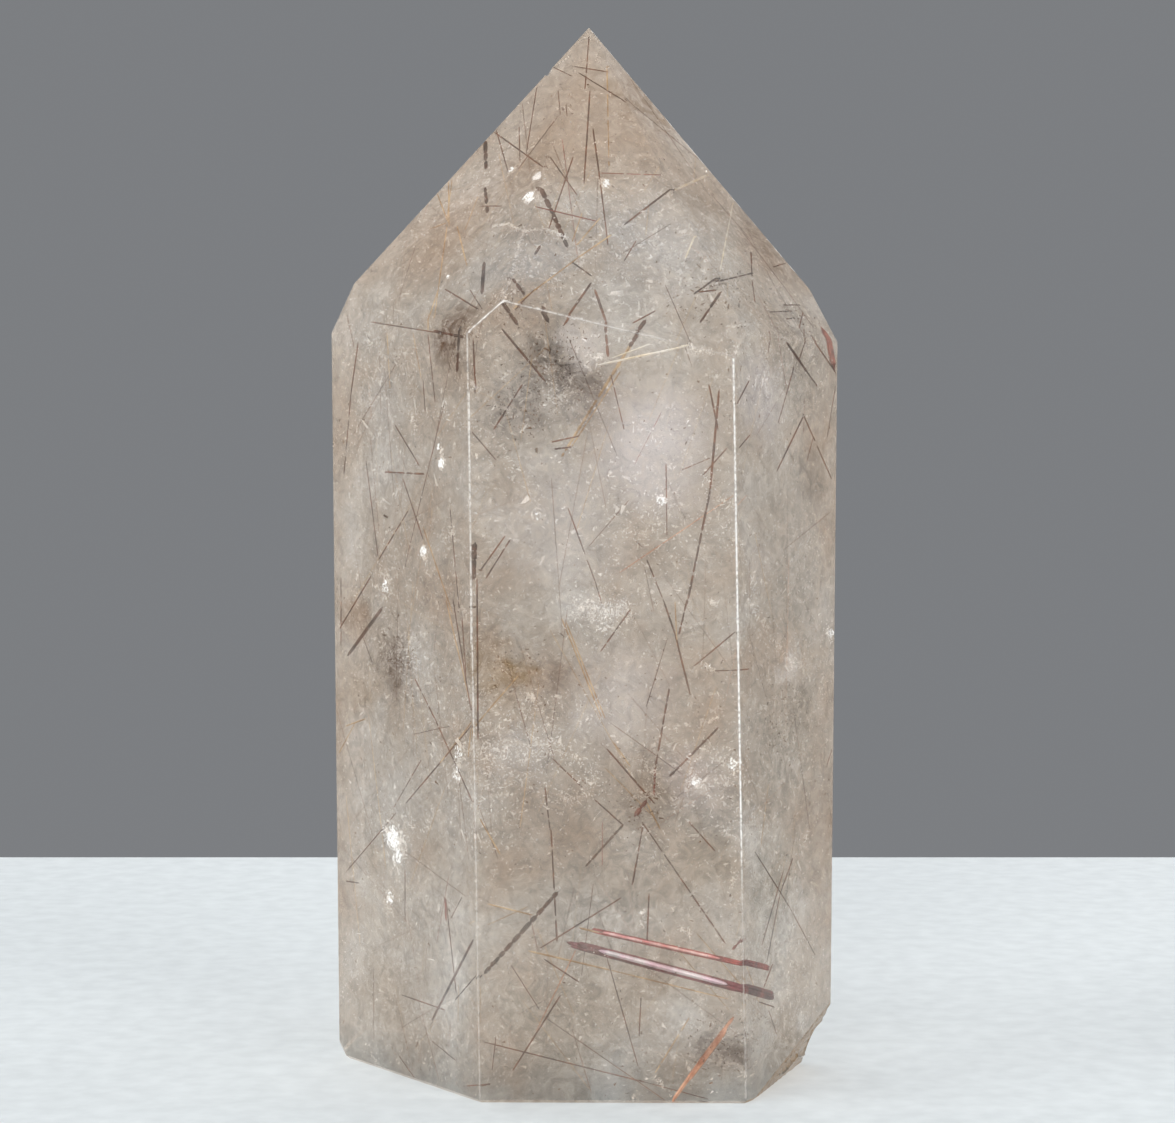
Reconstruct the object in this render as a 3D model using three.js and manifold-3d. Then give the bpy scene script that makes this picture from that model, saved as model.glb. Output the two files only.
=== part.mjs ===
import * as THREE from 'three';
import Module from 'manifold-3d';

// Rutilated quartz tower: one natural six-sided crystal, sawn flat at the foot, with every face
// ground and polished to a point. Millimetres, +Z up, the broad face to the front (-Y).
// The crystal is a single piece. The rutile needles, veils and haze lie inside it, not on it.

const towerHeight = 95;

// The point stands close over the middle of the foot, and all six tip faces run through it.
const tipForward = 0.4;
const tip = new THREE.Vector3(0, -tipForward, towerHeight);

// Each face is given by the way it looks. Turn: 0 to the front, 90 to the right, -90 to the left.
// Lean: degrees that it looks up (+) or down (-). Reach: how far it stands from the axis origin.
const sideFaces = [
  { turn: -0.9, lean: 0, reach: 20.05 },
  { turn: 56.7, lean: 0.95, reach: 22.6 },
  { turn: 129, lean: -1.9, reach: 12.4 },
  { turn: 180, lean: 0, reach: 18.6 },
  { turn: -121, lean: 0.15, reach: 19.5 },
  { turn: -54, lean: -0.65, reach: 19.45 },
];

// Tip faces keep quartz's own slope, about 38 degrees up. Small differences in turn
// give the shoulders their three-edged corners in place of a tidy ring.
const tipFaces = [
  { turn: 9.1, lean: 35.9 },
  { turn: 59, lean: 37 },
  { turn: 112, lean: 37.4 },
  { turn: 179, lean: 38.2 },
  { turn: -112.2, lean: 37.5 },
  { turn: -43.5, lean: 37.6 },
];

// Damage: the front right corner of the foot is broken away, and the left corner is rubbed.
const brokenCorner = { turn: 71, lean: -28, reach: 17.6 };
const rubbedCorner = { turn: -86, lean: -29, reach: 19.7 };

// Width of the worn strip along each kind of edge.
const sideEdgeWear = 0.36;
const tipEdgeWear = 0.2;
const footEdgeWear = 0.4;

// Shell-like hollows in the broken corner: along the foot, height, length, width and depth.
const breakHollows = [
  { along: 1.6, height: 2.7, halfLength: 4.6, halfWidth: 2.0, depth: 0.34 },
  { along: -5.0, height: 1.7, halfLength: 3.0, halfWidth: 1.2, depth: 0.22 },
];
const hollowDetail = 12;

// A shallow nick on the left slope, a little below the point.
const nickBelowTip = 4.1;
const nickSize = new THREE.Vector3(0.9, 2.4, 0.34);
const nickTilt = 14;

const stoneColour = '#b8aea1';
const polishRoughness = 0.08;

// A face that looks up by more than this belongs to the tip, and one that looks down this far
// is the foot. Corners closer than sameCorner are one corner.
const tipLean = Math.sin(THREE.MathUtils.degToRad(20));
const footLean = -0.9;
const sameCorner = 1e-4;
const nearlyParallel = 1e-7;

function outward(face) {
  const turn = THREE.MathUtils.degToRad(face.turn);
  const lean = THREE.MathUtils.degToRad(face.lean);
  return new THREE.Vector3(
    Math.cos(lean) * Math.sin(turn),
    -Math.cos(lean) * Math.cos(turn),
    Math.sin(lean),
  );
}

function faceAt(face) {
  return { normal: outward(face), reach: face.reach };
}

function faceThroughTip(face) {
  const normal = outward(face);
  return { normal, reach: normal.dot(tip) };
}

// Where three faces meet, or null if they don't.
function meeting(a, b, c) {
  const rows = new THREE.Matrix3().set(
    a.normal.x, a.normal.y, a.normal.z,
    b.normal.x, b.normal.y, b.normal.z,
    c.normal.x, c.normal.y, c.normal.z,
  );
  if (Math.abs(rows.determinant()) < nearlyParallel) {
    return null;
  }
  return new THREE.Vector3(a.reach, b.reach, c.reach).applyMatrix3(rows.invert());
}

// Corners of the solid that lies behind all the faces, each with the faces that touch it.
function cornersOf(faces) {
  const corners = [];
  for (let i = 0; i < faces.length; i += 1) {
    for (let j = i + 1; j < faces.length; j += 1) {
      for (let k = j + 1; k < faces.length; k += 1) {
        const point = meeting(faces[i], faces[j], faces[k]);
        if (!point || faces.some((f) => f.normal.dot(point) > f.reach + sameCorner)) {
          continue;
        }
        let corner = corners.find((c) => c.point.distanceTo(point) < sameCorner * 10);
        if (!corner) {
          corner = { point, faces: new Set() };
          corners.push(corner);
        }
        [i, j, k].forEach((n) => corner.faces.add(n));
      }
    }
  }
  return corners;
}

function wearOf(a, b) {
  if (Math.min(a.normal.z, b.normal.z) < footLean) {
    return footEdgeWear;
  }
  return Math.min(a.normal.z, b.normal.z) > tipLean ? tipEdgeWear : sideEdgeWear;
}

// One narrow face for every edge, square across it, to stand for the wear of handling.
function wornEdges(faces) {
  const corners = cornersOf(faces);
  const strips = [];
  for (let i = 0; i < faces.length; i += 1) {
    for (let j = i + 1; j < faces.length; j += 1) {
      const shared = corners.filter((c) => c.faces.has(i) && c.faces.has(j));
      if (shared.length < 2) {
        continue;
      }
      const normal = faces[i].normal.clone().add(faces[j].normal).normalize();
      const half = faces[i].normal.angleTo(faces[j].normal) / 2;
      const depth = (wearOf(faces[i], faces[j]) * Math.tan(half)) / 2;
      strips.push({ normal, reach: normal.dot(shared[0].point) - depth });
    }
  }
  return strips;
}

// Closed triangle mesh of the solid behind all the faces.
function cutStone(faces) {
  const corners = cornersOf(faces);
  const places = corners.flatMap((c) => c.point.toArray());
  const triangles = [];
  faces.forEach((face, n) => {
    const ring = [];
    corners.forEach((c, index) => {
      if (c.faces.has(n)) {
        ring.push(index);
      }
    });
    if (ring.length < 3) {
      return;
    }
    const middle = new THREE.Vector3();
    ring.forEach((index) => middle.add(corners[index].point));
    middle.divideScalar(ring.length);
    const across = corners[ring[0]].point.clone().sub(middle).normalize();
    const along = face.normal.clone().cross(across);
    const angle = (index) => {
      const arm = corners[index].point.clone().sub(middle);
      return Math.atan2(arm.dot(along), arm.dot(across));
    };
    ring.sort((a, b) => angle(a) - angle(b));
    for (let k = 1; k < ring.length - 1; k += 1) {
      triangles.push(ring[0], ring[k], ring[k + 1]);
    }
  });
  const geometry = new THREE.BufferGeometry();
  geometry.setAttribute('position', new THREE.Float32BufferAttribute(places, 3));
  geometry.setIndex(triangles);
  return geometry;
}

// A flattened egg that is let into the broken corner, its thin way across the break.
function hollow(shape, plane) {
  const egg = new THREE.SphereGeometry(1, hollowDetail * 2, hollowDetail);
  egg.scale(shape.halfLength, shape.halfWidth, shape.depth);
  const level = new THREE.Vector3(0, 0, 1).cross(plane.normal).normalize();
  const up = plane.normal.clone().cross(level);
  const frame = new THREE.Matrix4().makeBasis(level, up, plane.normal);
  const middle = plane.normal.clone().multiplyScalar(plane.reach);
  middle.addScaledVector(level, shape.along - middle.dot(level));
  middle.addScaledVector(up, (shape.height - middle.z) / up.z);
  frame.setPosition(middle);
  egg.applyMatrix4(frame);
  return egg;
}

// A small block sunk across the edge between the left and back left tip faces.
function nick(left, backLeft) {
  const edge = left.normal.clone().cross(backLeft.normal).normalize();
  const down = edge.z > 0 ? edge.negate() : edge;
  const out = left.normal.clone().add(backLeft.normal).normalize();
  const side = out.clone().cross(down);
  const frame = new THREE.Matrix4().makeBasis(down, side, out);
  frame.setPosition(tip.clone().addScaledVector(down, -nickBelowTip / down.z));
  const block = new THREE.BoxGeometry(nickSize.x, nickSize.y, nickSize.z);
  block.rotateY(THREE.MathUtils.degToRad(nickTilt));
  block.applyMatrix4(frame);
  return block;
}

const wasm = await Module();
wasm.setup();

// Joins corners that lie on one another, so that the shape closes.
function toSolid(geometry) {
  const place = geometry.attributes.position;
  const index = geometry.index;
  const seen = new Map();
  const kept = [];
  const renamed = [];
  for (let i = 0; i < place.count; i += 1) {
    const xyz = [place.getX(i), place.getY(i), place.getZ(i)];
    const key = xyz.map((v) => Math.round(v * 1e4)).join(',');
    if (!seen.has(key)) {
      seen.set(key, kept.length / 3);
      kept.push(...xyz);
    }
    renamed.push(seen.get(key));
  }
  const triangles = [];
  for (let i = 0; i < index.count; i += 3) {
    const [a, b, c] = [0, 1, 2].map((k) => renamed[index.getX(i + k)]);
    if (a !== b && b !== c && c !== a) {
      triangles.push(a, b, c);
    }
  }
  return new wasm.Manifold(new wasm.Mesh({
    numProp: 3,
    vertProperties: new Float32Array(kept),
    triVerts: new Uint32Array(triangles),
  }));
}

function toGeometry(solid) {
  const mesh = solid.getMesh();
  const geometry = new THREE.BufferGeometry();
  const places = [];
  for (let i = 0; i < mesh.vertProperties.length; i += mesh.numProp) {
    places.push(...mesh.vertProperties.slice(i, i + 3));
  }
  geometry.setAttribute('position', new THREE.Float32BufferAttribute(places, 3));
  geometry.setIndex(Array.from(mesh.triVerts));
  return geometry;
}

const foot = { normal: new THREE.Vector3(0, 0, -1), reach: 0 };
const tips = tipFaces.map(faceThroughTip);
const broken = faceAt(brokenCorner);
const polished = [...sideFaces.map(faceAt), ...tips, foot, broken, faceAt(rubbedCorner)];
const faces = [...polished, ...wornEdges(polished)];

let stone = toSolid(cutStone(faces));
breakHollows.forEach((shape) => {
  stone = stone.subtract(toSolid(hollow(shape, broken)));
});
stone = stone.subtract(toSolid(nick(tips[5], tips[4])));

// Flat facets keep their own corners, and the stone stands on the middle of its outline.
const geometry = toGeometry(stone).toNonIndexed();
geometry.computeBoundingBox();
const box = geometry.boundingBox;
geometry.translate(-(box.min.x + box.max.x) / 2, -(box.min.y + box.max.y) / 2, -box.min.z);
geometry.computeVertexNormals();

const quartz = new THREE.Mesh(
  geometry,
  new THREE.MeshStandardMaterial({
    name: 'polished_quartz',
    color: stoneColour,
    roughness: polishRoughness,
    metalness: 0,
    flatShading: true,
  }),
);
quartz.name = 'quartz_tower';

const part = new THREE.Group();
part.name = 'rutilated_quartz_tower';
part.add(quartz);

export default part;
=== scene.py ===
import itertools
import math

import bmesh
import bpy
import numpy as np
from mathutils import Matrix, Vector, noise


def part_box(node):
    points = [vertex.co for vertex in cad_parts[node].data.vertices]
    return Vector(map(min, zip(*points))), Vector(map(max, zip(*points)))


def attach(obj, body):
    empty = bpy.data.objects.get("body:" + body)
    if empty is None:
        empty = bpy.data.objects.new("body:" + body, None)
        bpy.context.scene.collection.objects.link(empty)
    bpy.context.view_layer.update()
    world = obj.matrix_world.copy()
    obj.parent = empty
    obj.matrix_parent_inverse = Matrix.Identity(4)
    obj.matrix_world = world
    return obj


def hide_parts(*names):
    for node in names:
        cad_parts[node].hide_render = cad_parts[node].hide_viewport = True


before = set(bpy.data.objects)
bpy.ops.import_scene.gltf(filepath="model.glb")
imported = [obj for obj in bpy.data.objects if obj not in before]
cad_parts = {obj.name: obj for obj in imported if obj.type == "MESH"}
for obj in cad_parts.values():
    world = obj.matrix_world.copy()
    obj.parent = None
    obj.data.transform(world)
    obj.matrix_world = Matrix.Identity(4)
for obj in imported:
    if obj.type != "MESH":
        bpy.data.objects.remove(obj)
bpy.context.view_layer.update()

print("frame loaded")

mm = 0.001
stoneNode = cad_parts["quartz_tower"]
quartzIor = 1.544
rutileIor = 1.75   # rutile's 2.7 against the quartz around it


def fromHex(code):  # sRGB hex to the linear colour that shaders take
    parts = [int(code[i:i + 2], 16) / 255 for i in (1, 3, 5)]
    return tuple(c / 12.92 if c <= 0.04045 else ((c + 0.055) / 1.055) ** 2.4 for c in parts) + (1,)


# Adds one node. Settings fill its own options or its sockets, links feed its sockets.
def addNode(tree, kind, settings=None, links=None):
    node = tree.nodes.new(kind)
    for key, value in (settings or {}).items():
        if isinstance(key, int) or key in node.inputs:
            node.inputs[key].default_value = value
        else:
            setattr(node, key, value)
    for key, source in (links or {}).items():
        tree.links.new(source, node.inputs[key])
    return node


def newMaterial(name):
    material = bpy.data.materials.new(name)
    material.use_nodes = True
    material.node_tree.nodes.clear()
    return material, material.node_tree


def colourSteps(tree, factor, steps):  # colour ramp from {position: hex}
    ramp = addNode(tree, "ShaderNodeValToRGB", {}, {"Fac": factor})
    while len(ramp.color_ramp.elements) < len(steps):
        ramp.color_ramp.elements.new(0.5)
    for element, (position, code) in zip(ramp.color_ramp.elements, sorted(steps.items())):
        element.position = position
        element.color = fromHex(code)
    return ramp.outputs["Color"]


def grainScale(size):  # noise scale for a pattern whose grain is that many mm
    return 1 / (size * mm)


# The photograph's camera, solved from the corners of the stone that it shows. Millimetres and degrees.
cameraSetup = {
    "place": (0.388, -303.514, 67.868),
    "lookDown": 4.0992,
    "focalPixels": 3300,
    "photoWidth": 1175,
    "photoHeight": 1123,
    "sensorWidth": 36,
    "nearest": 10,      # what the camera shows lies between these two
    "farthest": 10000,
}


def makeCamera():
    lens = bpy.data.cameras.new("photoLens")
    lens.sensor_width = cameraSetup["sensorWidth"]
    lens.lens = cameraSetup["sensorWidth"] * cameraSetup["focalPixels"] / cameraSetup["photoWidth"]
    lens.clip_start = cameraSetup["nearest"] * mm
    lens.clip_end = cameraSetup["farthest"] * mm
    camera = bpy.data.objects.new("photoCamera", lens)
    camera.location = Vector(cameraSetup["place"]) * mm
    camera.rotation_euler = (math.radians(90 - cameraSetup["lookDown"]), 0, 0)
    bpy.context.scene.collection.objects.link(camera)
    bpy.context.scene.camera = camera


makeCamera()
print("camera placed")


# The stone's own faces, read from the frame: large flat facets are polished, the rest is wear and damage.
facetLimits = {
    "sameCorner": 0.001,     # mm
    "samePlane": 0.1,        # degrees
    "sameNormal": 1e-3,
    "polishedArea": 100,     # mm2, every polished facet is larger
    "breakArea": 10,         # mm2, the broken corner's flat part is larger, and compact
    "breakCompact": 0.01,
    "onFacet": (2e-3, 0.02),   # how far a facet's faces may differ from it, in normal and in mm
    "onBreak": (0.75, 0.5),    # the same for the break with its hollows
}


def readStone():
    shape = bmesh.new()
    shape.from_mesh(stoneNode.data)
    bmesh.ops.remove_doubles(shape, verts=shape.verts, dist=facetLimits["sameCorner"] * mm)
    bmesh.ops.dissolve_limit(
        shape, angle_limit=math.radians(facetLimits["samePlane"]), verts=shape.verts, edges=shape.edges
    )
    shape.normal_update()
    return shape


def readPlanes(shape):  # outward normal and reach in mm of the polished facets, and of the break
    polished = []
    broken = None
    for face in shape.faces:
        area = face.calc_area() / mm ** 2
        reach = face.normal.dot(face.verts[0].co) / mm
        known = any((normal - face.normal).length < facetLimits["sameNormal"] for normal, _ in polished)
        if area > facetLimits["polishedArea"] and not known:
            polished.append((face.normal.copy(), reach))
        compact = face.calc_area() / face.calc_perimeter() ** 2 > facetLimits["breakCompact"]
        if compact and facetLimits["breakArea"] < area < facetLimits["polishedArea"]:
            broken = (face.normal.copy(), reach)
    return polished, broken


stoneShape = readStone()
polishedPlanes, breakPlane = readPlanes(stoneShape)
allPlanes = polishedPlanes + [breakPlane]
planeNormals = np.array([normal for normal, _ in allPlanes])
planeReaches = np.array([reach for _, reach in allPlanes])
boxLow, boxHigh = (np.array(corner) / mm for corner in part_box("quartz_tower"))
pixelMargin = 0.25   # mm, what is seen at a pixel lies no nearer to a facet
pushRounds = 4       # enough to come clear of facets that meet


def depthInside(points):  # mm from each point to the nearest face, negative outside
    return (planeReaches - points @ planeNormals.T).min(axis=1)


def pushInside(points, margin):
    places = np.array(points, float)
    for _ in range(pushRounds):
        for normal, reach in zip(planeNormals, planeReaches):
            over = np.maximum(places @ normal - reach + margin, 0)
            places = places - over[..., None] * normal
    return places


# The point in the stone that the camera shows at a pixel of the photograph, that many mm behind the face
# it looks through. The line of sight bends at the face as it does in quartz.
def seenAt(pixel, depth):
    eye = np.array(cameraSetup["place"])
    down = math.radians(cameraSetup["lookDown"])
    across = (pixel[0] - cameraSetup["photoWidth"] / 2) / cameraSetup["focalPixels"]
    below = (pixel[1] - cameraSetup["photoHeight"] / 2) / cameraSetup["focalPixels"]
    ahead = np.array((0, math.cos(down), -math.sin(down)))
    up = np.array((0, math.sin(down), math.cos(down)))
    ray = ahead + np.array((across, 0, 0)) - up * below
    ray = ray / np.linalg.norm(ray)
    entry, facing = max(
        ((reach - normal @ eye) / (normal @ ray), tuple(normal))
        for normal, reach in zip(planeNormals, planeReaches) if normal @ ray < 0
    )
    facing = np.array(facing)
    ratio = 1 / quartzIor
    cosine = -facing @ ray
    bent = ray * ratio + facing * (ratio * cosine - math.sqrt(1 - ratio ** 2 * (1 - cosine ** 2)))
    return pushInside(eye + ray * entry + bent * depth, pixelMargin)


print("stone read,", len(allPlanes), "flat faces")


def addObject(name, mesh, material):
    mesh.materials.append(material)
    piece = bpy.data.objects.new(name, mesh)
    bpy.context.scene.collection.objects.link(piece)
    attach(piece, "root")
    return piece


def makePiece(name, places, corners, material):  # places in mm
    mesh = bpy.data.meshes.new(name)
    mesh.from_pydata((np.asarray(places) * mm).tolist(), [], np.asarray(corners).tolist())
    mesh.polygons.foreach_set("use_smooth", [False] * len(mesh.polygons))
    mesh.update()
    print(name, len(mesh.polygons), "faces")
    addObject(name, mesh, material)


# Places of another tone in the stone, as the photograph shows them: pixel, radius in mm, tone, strength.
tonePlaces = {
    "tipTan": ((600, 110), 9.0, "#ae937b", 0.7),
    "tipLeftTan": ((515, 175), 6.5, "#a1876f", 0.7),
    "tipRightTan": ((690, 190), 6.5, "#a38d79", 0.8),
    "tipEdgeTan": ((645, 105), 5.0, "#957a60", 0.9),
    "slopeEdgeTan": ((765, 245), 5.0, "#7c6653", 0.9),
    "leftSlopeTan": ((440, 240), 6.5, "#bfa084", 0.7),
    "tipGrey": ((520, 255), 5.0, "#a3a2a2", 0.6),
    "tipCloud": ((650, 245), 6.5, "#c1bfbe", 0.8),
    "tipCloudLeft": ((555, 262), 3.5, "#c4c3c4", 0.6),
    "leftPale": ((385, 400), 4.5, "#c9c3bd", 0.4),
    "shoulderTan": ((452, 350), 4.5, "#8f7860", 0.6),
    "upperSmoke": ((556, 362), 3.8, "#41362f", 0.9),
    "upperSmokeRight": ((585, 388), 2.8, "#5f524e", 0.62),
    "upperSmokeLow": ((518, 410), 3.8, "#6a5f57", 0.7),
    "shoulderSmoke": ((452, 343), 2.8, "#553419", 0.95),
    "starCloud": ((590, 342), 2.6, "#f4ebe6", 0.85),
    "middleCloud": ((650, 447), 6.1, "#f7f0f1", 0.93),
    "centreCloud": ((560, 520), 6.0, "#ece6e3", 0.7),
    "leftMidPale": ((385, 530), 4.5, "#d2c6b9", 0.5),
    "leftSmokeTan": ((385, 650), 4.6, "#9a8268", 0.5),
    "leftSmoke": ((398, 668), 3.5, "#553b23", 0.8),
    "leftTan": ((360, 690), 3.6, "#a58b6d", 0.65),
    "leftRust": ((356, 612), 3.2, "#8d6b4c", 0.6),
    "goldStain": ((499, 668), 3.0, "#8b672f", 0.85),
    "stainSmoke": ((548, 674), 2.2, "#735c4d", 0.65),
    "stainBrown": ((486, 640), 2.4, "#876a4c", 0.6),
    "heartCloud": ((584, 606), 1.9, "#f2f0ee", 0.4),
    "heartCloudRight": ((612, 611), 1.7, "#f2f0ee", 0.36),
    "bandCloud": ((520, 755), 3.6, "#dcd8d5", 0.55),
    "lowLeftCloud": ((396, 835), 4.6, "#e2e1dd", 0.6),
    "lowLeftShade": ((430, 912), 3.6, "#a0968a", 0.85),
    "lowSmoke": ((530, 815), 4.6, "#968e84", 0.42),
    "lowRightTan": ((700, 855), 4.0, "#978975", 0.55),
    "lowDark": ((655, 798), 4.2, "#75624f", 0.65),
    "lowDarkRight": ((715, 808), 4.0, "#807a72", 0.55),
    "pinkVeil": ((620, 700), 5.5, "#dfd5d0", 0.65),
    "pinkVeilRight": ((692, 775), 3.0, "#dccac3", 0.5),
    "rightShadeHigh": ((800, 370), 6.0, "#8b847a", 0.65),
    "rightShade": ((785, 500), 6.5, "#b1a99e", 0.65),
    "rightTopTan": ((780, 328), 3.5, "#9a8976", 0.6),
    "rightShadeMiddle": ((795, 600), 5.5, "#928a7e", 0.7),
    "rightShadeLow": ((785, 750), 7.0, "#8e8577", 0.7),
    "rightCloudHigh": ((760, 400), 4.2, "#dcd5d6", 0.75),
    "rightCloudVeil": ((757, 560), 3.0, "#d3cbc6", 0.45),
    "rightCloudLow": ((790, 662), 2.2, "#e6dfd8", 0.75),
    "rightSmokeHigh": ((812, 475), 2.6, "#787066", 0.7),
    "rightSmokeLow": ((800, 708), 2.6, "#7e7466", 0.7),
    "rightFootShade": ((770, 900), 6.0, "#948e80", 0.65),
    "lowTan": ((600, 905), 8.0, "#988e81", 0.65),
    "rodTan": ((650, 990), 4.0, "#9a8064", 0.6),
    "leftFootTan": ((400, 1000), 7.5, "#9d8a75", 0.7),
    "footTan": ((560, 1020), 8.0, "#9a8b78", 0.75),
    "breakShade": ((785, 1040), 3.4, "#957f65", 0.8),
    "footTanRight": ((682, 1062), 3.6, "#9c846b", 0.65),
    "footSmoke": ((722, 1042), 2.6, "#543f30", 0.84),
}

# Painted glints: small matt pure white patches on the surface that stand in for sparkles of reflected light,
# as the photograph shows them: pixel, radius in mm, strength.
paintedGlints = {
    "tip": ((529, 197), 0.8, 1.15),
    "tipRight": ((604, 183), 0.6, 1.0),
    "tipLeft": ((512, 169), 0.5, 1.0),
    "slopeLow": ((448, 277), 0.4, 0.9),
    "left": ((442, 463), 0.7, 1.1),
    "leftHigh": ((440, 447), 0.5, 1.0),
    "leftLow": ((425, 551), 0.75, 1.1),
    "leftMiddle": ((424, 487), 0.5, 0.8),
    "leftTrail": ((386, 586), 1.0, 0.62),
    "middle": ((661, 500), 0.6, 1.1),
    "heartHigh": ((537, 516), 0.8, 0.62),
    "seam": ((459, 752), 1.1, 0.66),
    "seamLow": ((458, 775), 1.1, 0.64),
    "big": ((394, 838), 1.5, 0.98),
    "bigLow": ((400, 856), 0.9, 0.85),
    "lowPatch": ((390, 897), 1.1, 0.66),
    "right": ((696, 779), 1.0, 0.57),
    "rightHigh": ((707, 666), 0.7, 0.66),
    "rightMiddle": ((734, 764), 1.1, 0.6),
    "side": ((830, 634), 0.8, 0.8),
}

placeDepth = 0.3            # mm, a place lies that far behind the facet
placeReach = (0.2, 1.25)    # shares of its radius: full up to the first, gone at the second

# Quartz crystal, ground and hand polished: glassy and sharp at the facets, but full of fine haze that blurs
# what lies deep. Smoky brown to bluish white. Worn edges and painted glints are matt and white, the break
# glassy and tan.
quartzLook = {
    "tones": {0.3: "#a68f7a", 0.5: "#bcb0a2", 0.7: "#d1ccc5"},
    "patterns": {             # mm across the grain, detail and roughness of each noise
        "cloud": (10, 5, 0.6),
        "wander": (5, 5, 0.6),
        "mottle": (1.4, 4, 0.68),
        "smear": (6, 3, 0.5),
        "grain": (0.3, 3, 0.7),
        "milk": (4, 5, 0.65),
    },
    "swirl": 1.2,
    "shares": {               # a noise, its low and high value, and what they become
        "grainy": ("mottle", 0.62, 0.42, 0.55, 1),    # lays the tone places in grains, not in a wash
        "shade": ("mottle", 0.3, 0.7, 0.68, 1.32),    # how far the fine mottling darkens and lightens
        "polish": ("smear", 0, 1, 0.05, 0.11),
        "wear": ("grain", 0.35, 0.55, 0.4, 0.9),
        "ragged": ("grain", 0.35, 0.65, 0.1, 1.9),
        "veil": ("milk", 0.35, 0.68, 0.04, 0.2),      # matt milkiness at the surface
        "milky": ("milk", 0.42, 0.6, 0, 0.55),        # how white the finest specks at the surface are
        "tiny": ("grain", 0.63, 0.68, 0, 1),
    },
    "raggedBy": 3.4,          # mm, how uneven the outline of a tone place is
    # mm, how uneven the outline of a painted glint is
    "glintRaggedBy": 0.5,
    "clear": 0.94,
    "absorbColour": "#e6d2b8",
    "absorbDensity": 10,
    "hazeColour": "#f5eee4",
    "hazeDensity": 50,        # light meets haze about every 20 mm
    "hazeForward": 0.2,
    "wearAndGlintWhite": "#fbf9f5",
    "mattRoughness": 0.6,
    # edge and whiteness of the painted glints, matt white patches that stand in for sparkles of light
    "glintEdge": (0.5, 0.72),
    "glintWhite": 0.9,
    "breakTan": "#7d5b36",
    "breakRoughness": 0.2,
}


def movedBy(tree, place, wander, amount):  # a place shifted unevenly, for a ragged rim
    offset = addNode(tree, "ShaderNodeVectorMath", {"operation": "SUBTRACT", 1: (0.5, 0.5, 0.5)}, {0: wander})
    return addNode(tree, "ShaderNodeVectorMath", {
        "operation": "MULTIPLY_ADD", 1: (2 * amount * mm,) * 3,
    }, {0: offset.outputs[0], 2: place}).outputs[0]


def shareNear(tree, place, pixel, radius, strength):  # 0 away from a pixel of the photograph, strength on it
    far = addNode(tree, "ShaderNodeVectorMath", {
        "operation": "DISTANCE", 1: tuple(seenAt(pixel, placeDepth) * mm),
    }, {0: place})
    full, gone = placeReach
    return addNode(tree, "ShaderNodeMapRange", {
        "interpolation_type": "SMOOTHSTEP", "From Min": gone * radius * mm, "From Max": full * radius * mm,
        "To Max": strength,
    }, {"Value": far.outputs["Value"]}).outputs["Result"]


def placeTones(tree, place, colour):  # lays the photograph's lighter, darker and browner places over a colour
    for pixel, radius, tone, strength in tonePlaces.values():
        colour = addNode(tree, "ShaderNodeMix", {"data_type": "RGBA", 7: fromHex(tone)}, {
            0: shareNear(tree, place, pixel, radius, strength), 6: colour,
        }).outputs[2]
    return colour


def placePaintedGlints(tree, place):  # 1 in the painted glints, 0 between them
    share = None
    for pixel, radius, strength in paintedGlints.values():
        near = shareNear(tree, place, pixel, radius, strength)
        if share:
            near = addNode(tree, "ShaderNodeMath", {"operation": "MAXIMUM"}, {0: share, 1: near}).outputs[0]
        share = near
    return share


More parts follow.
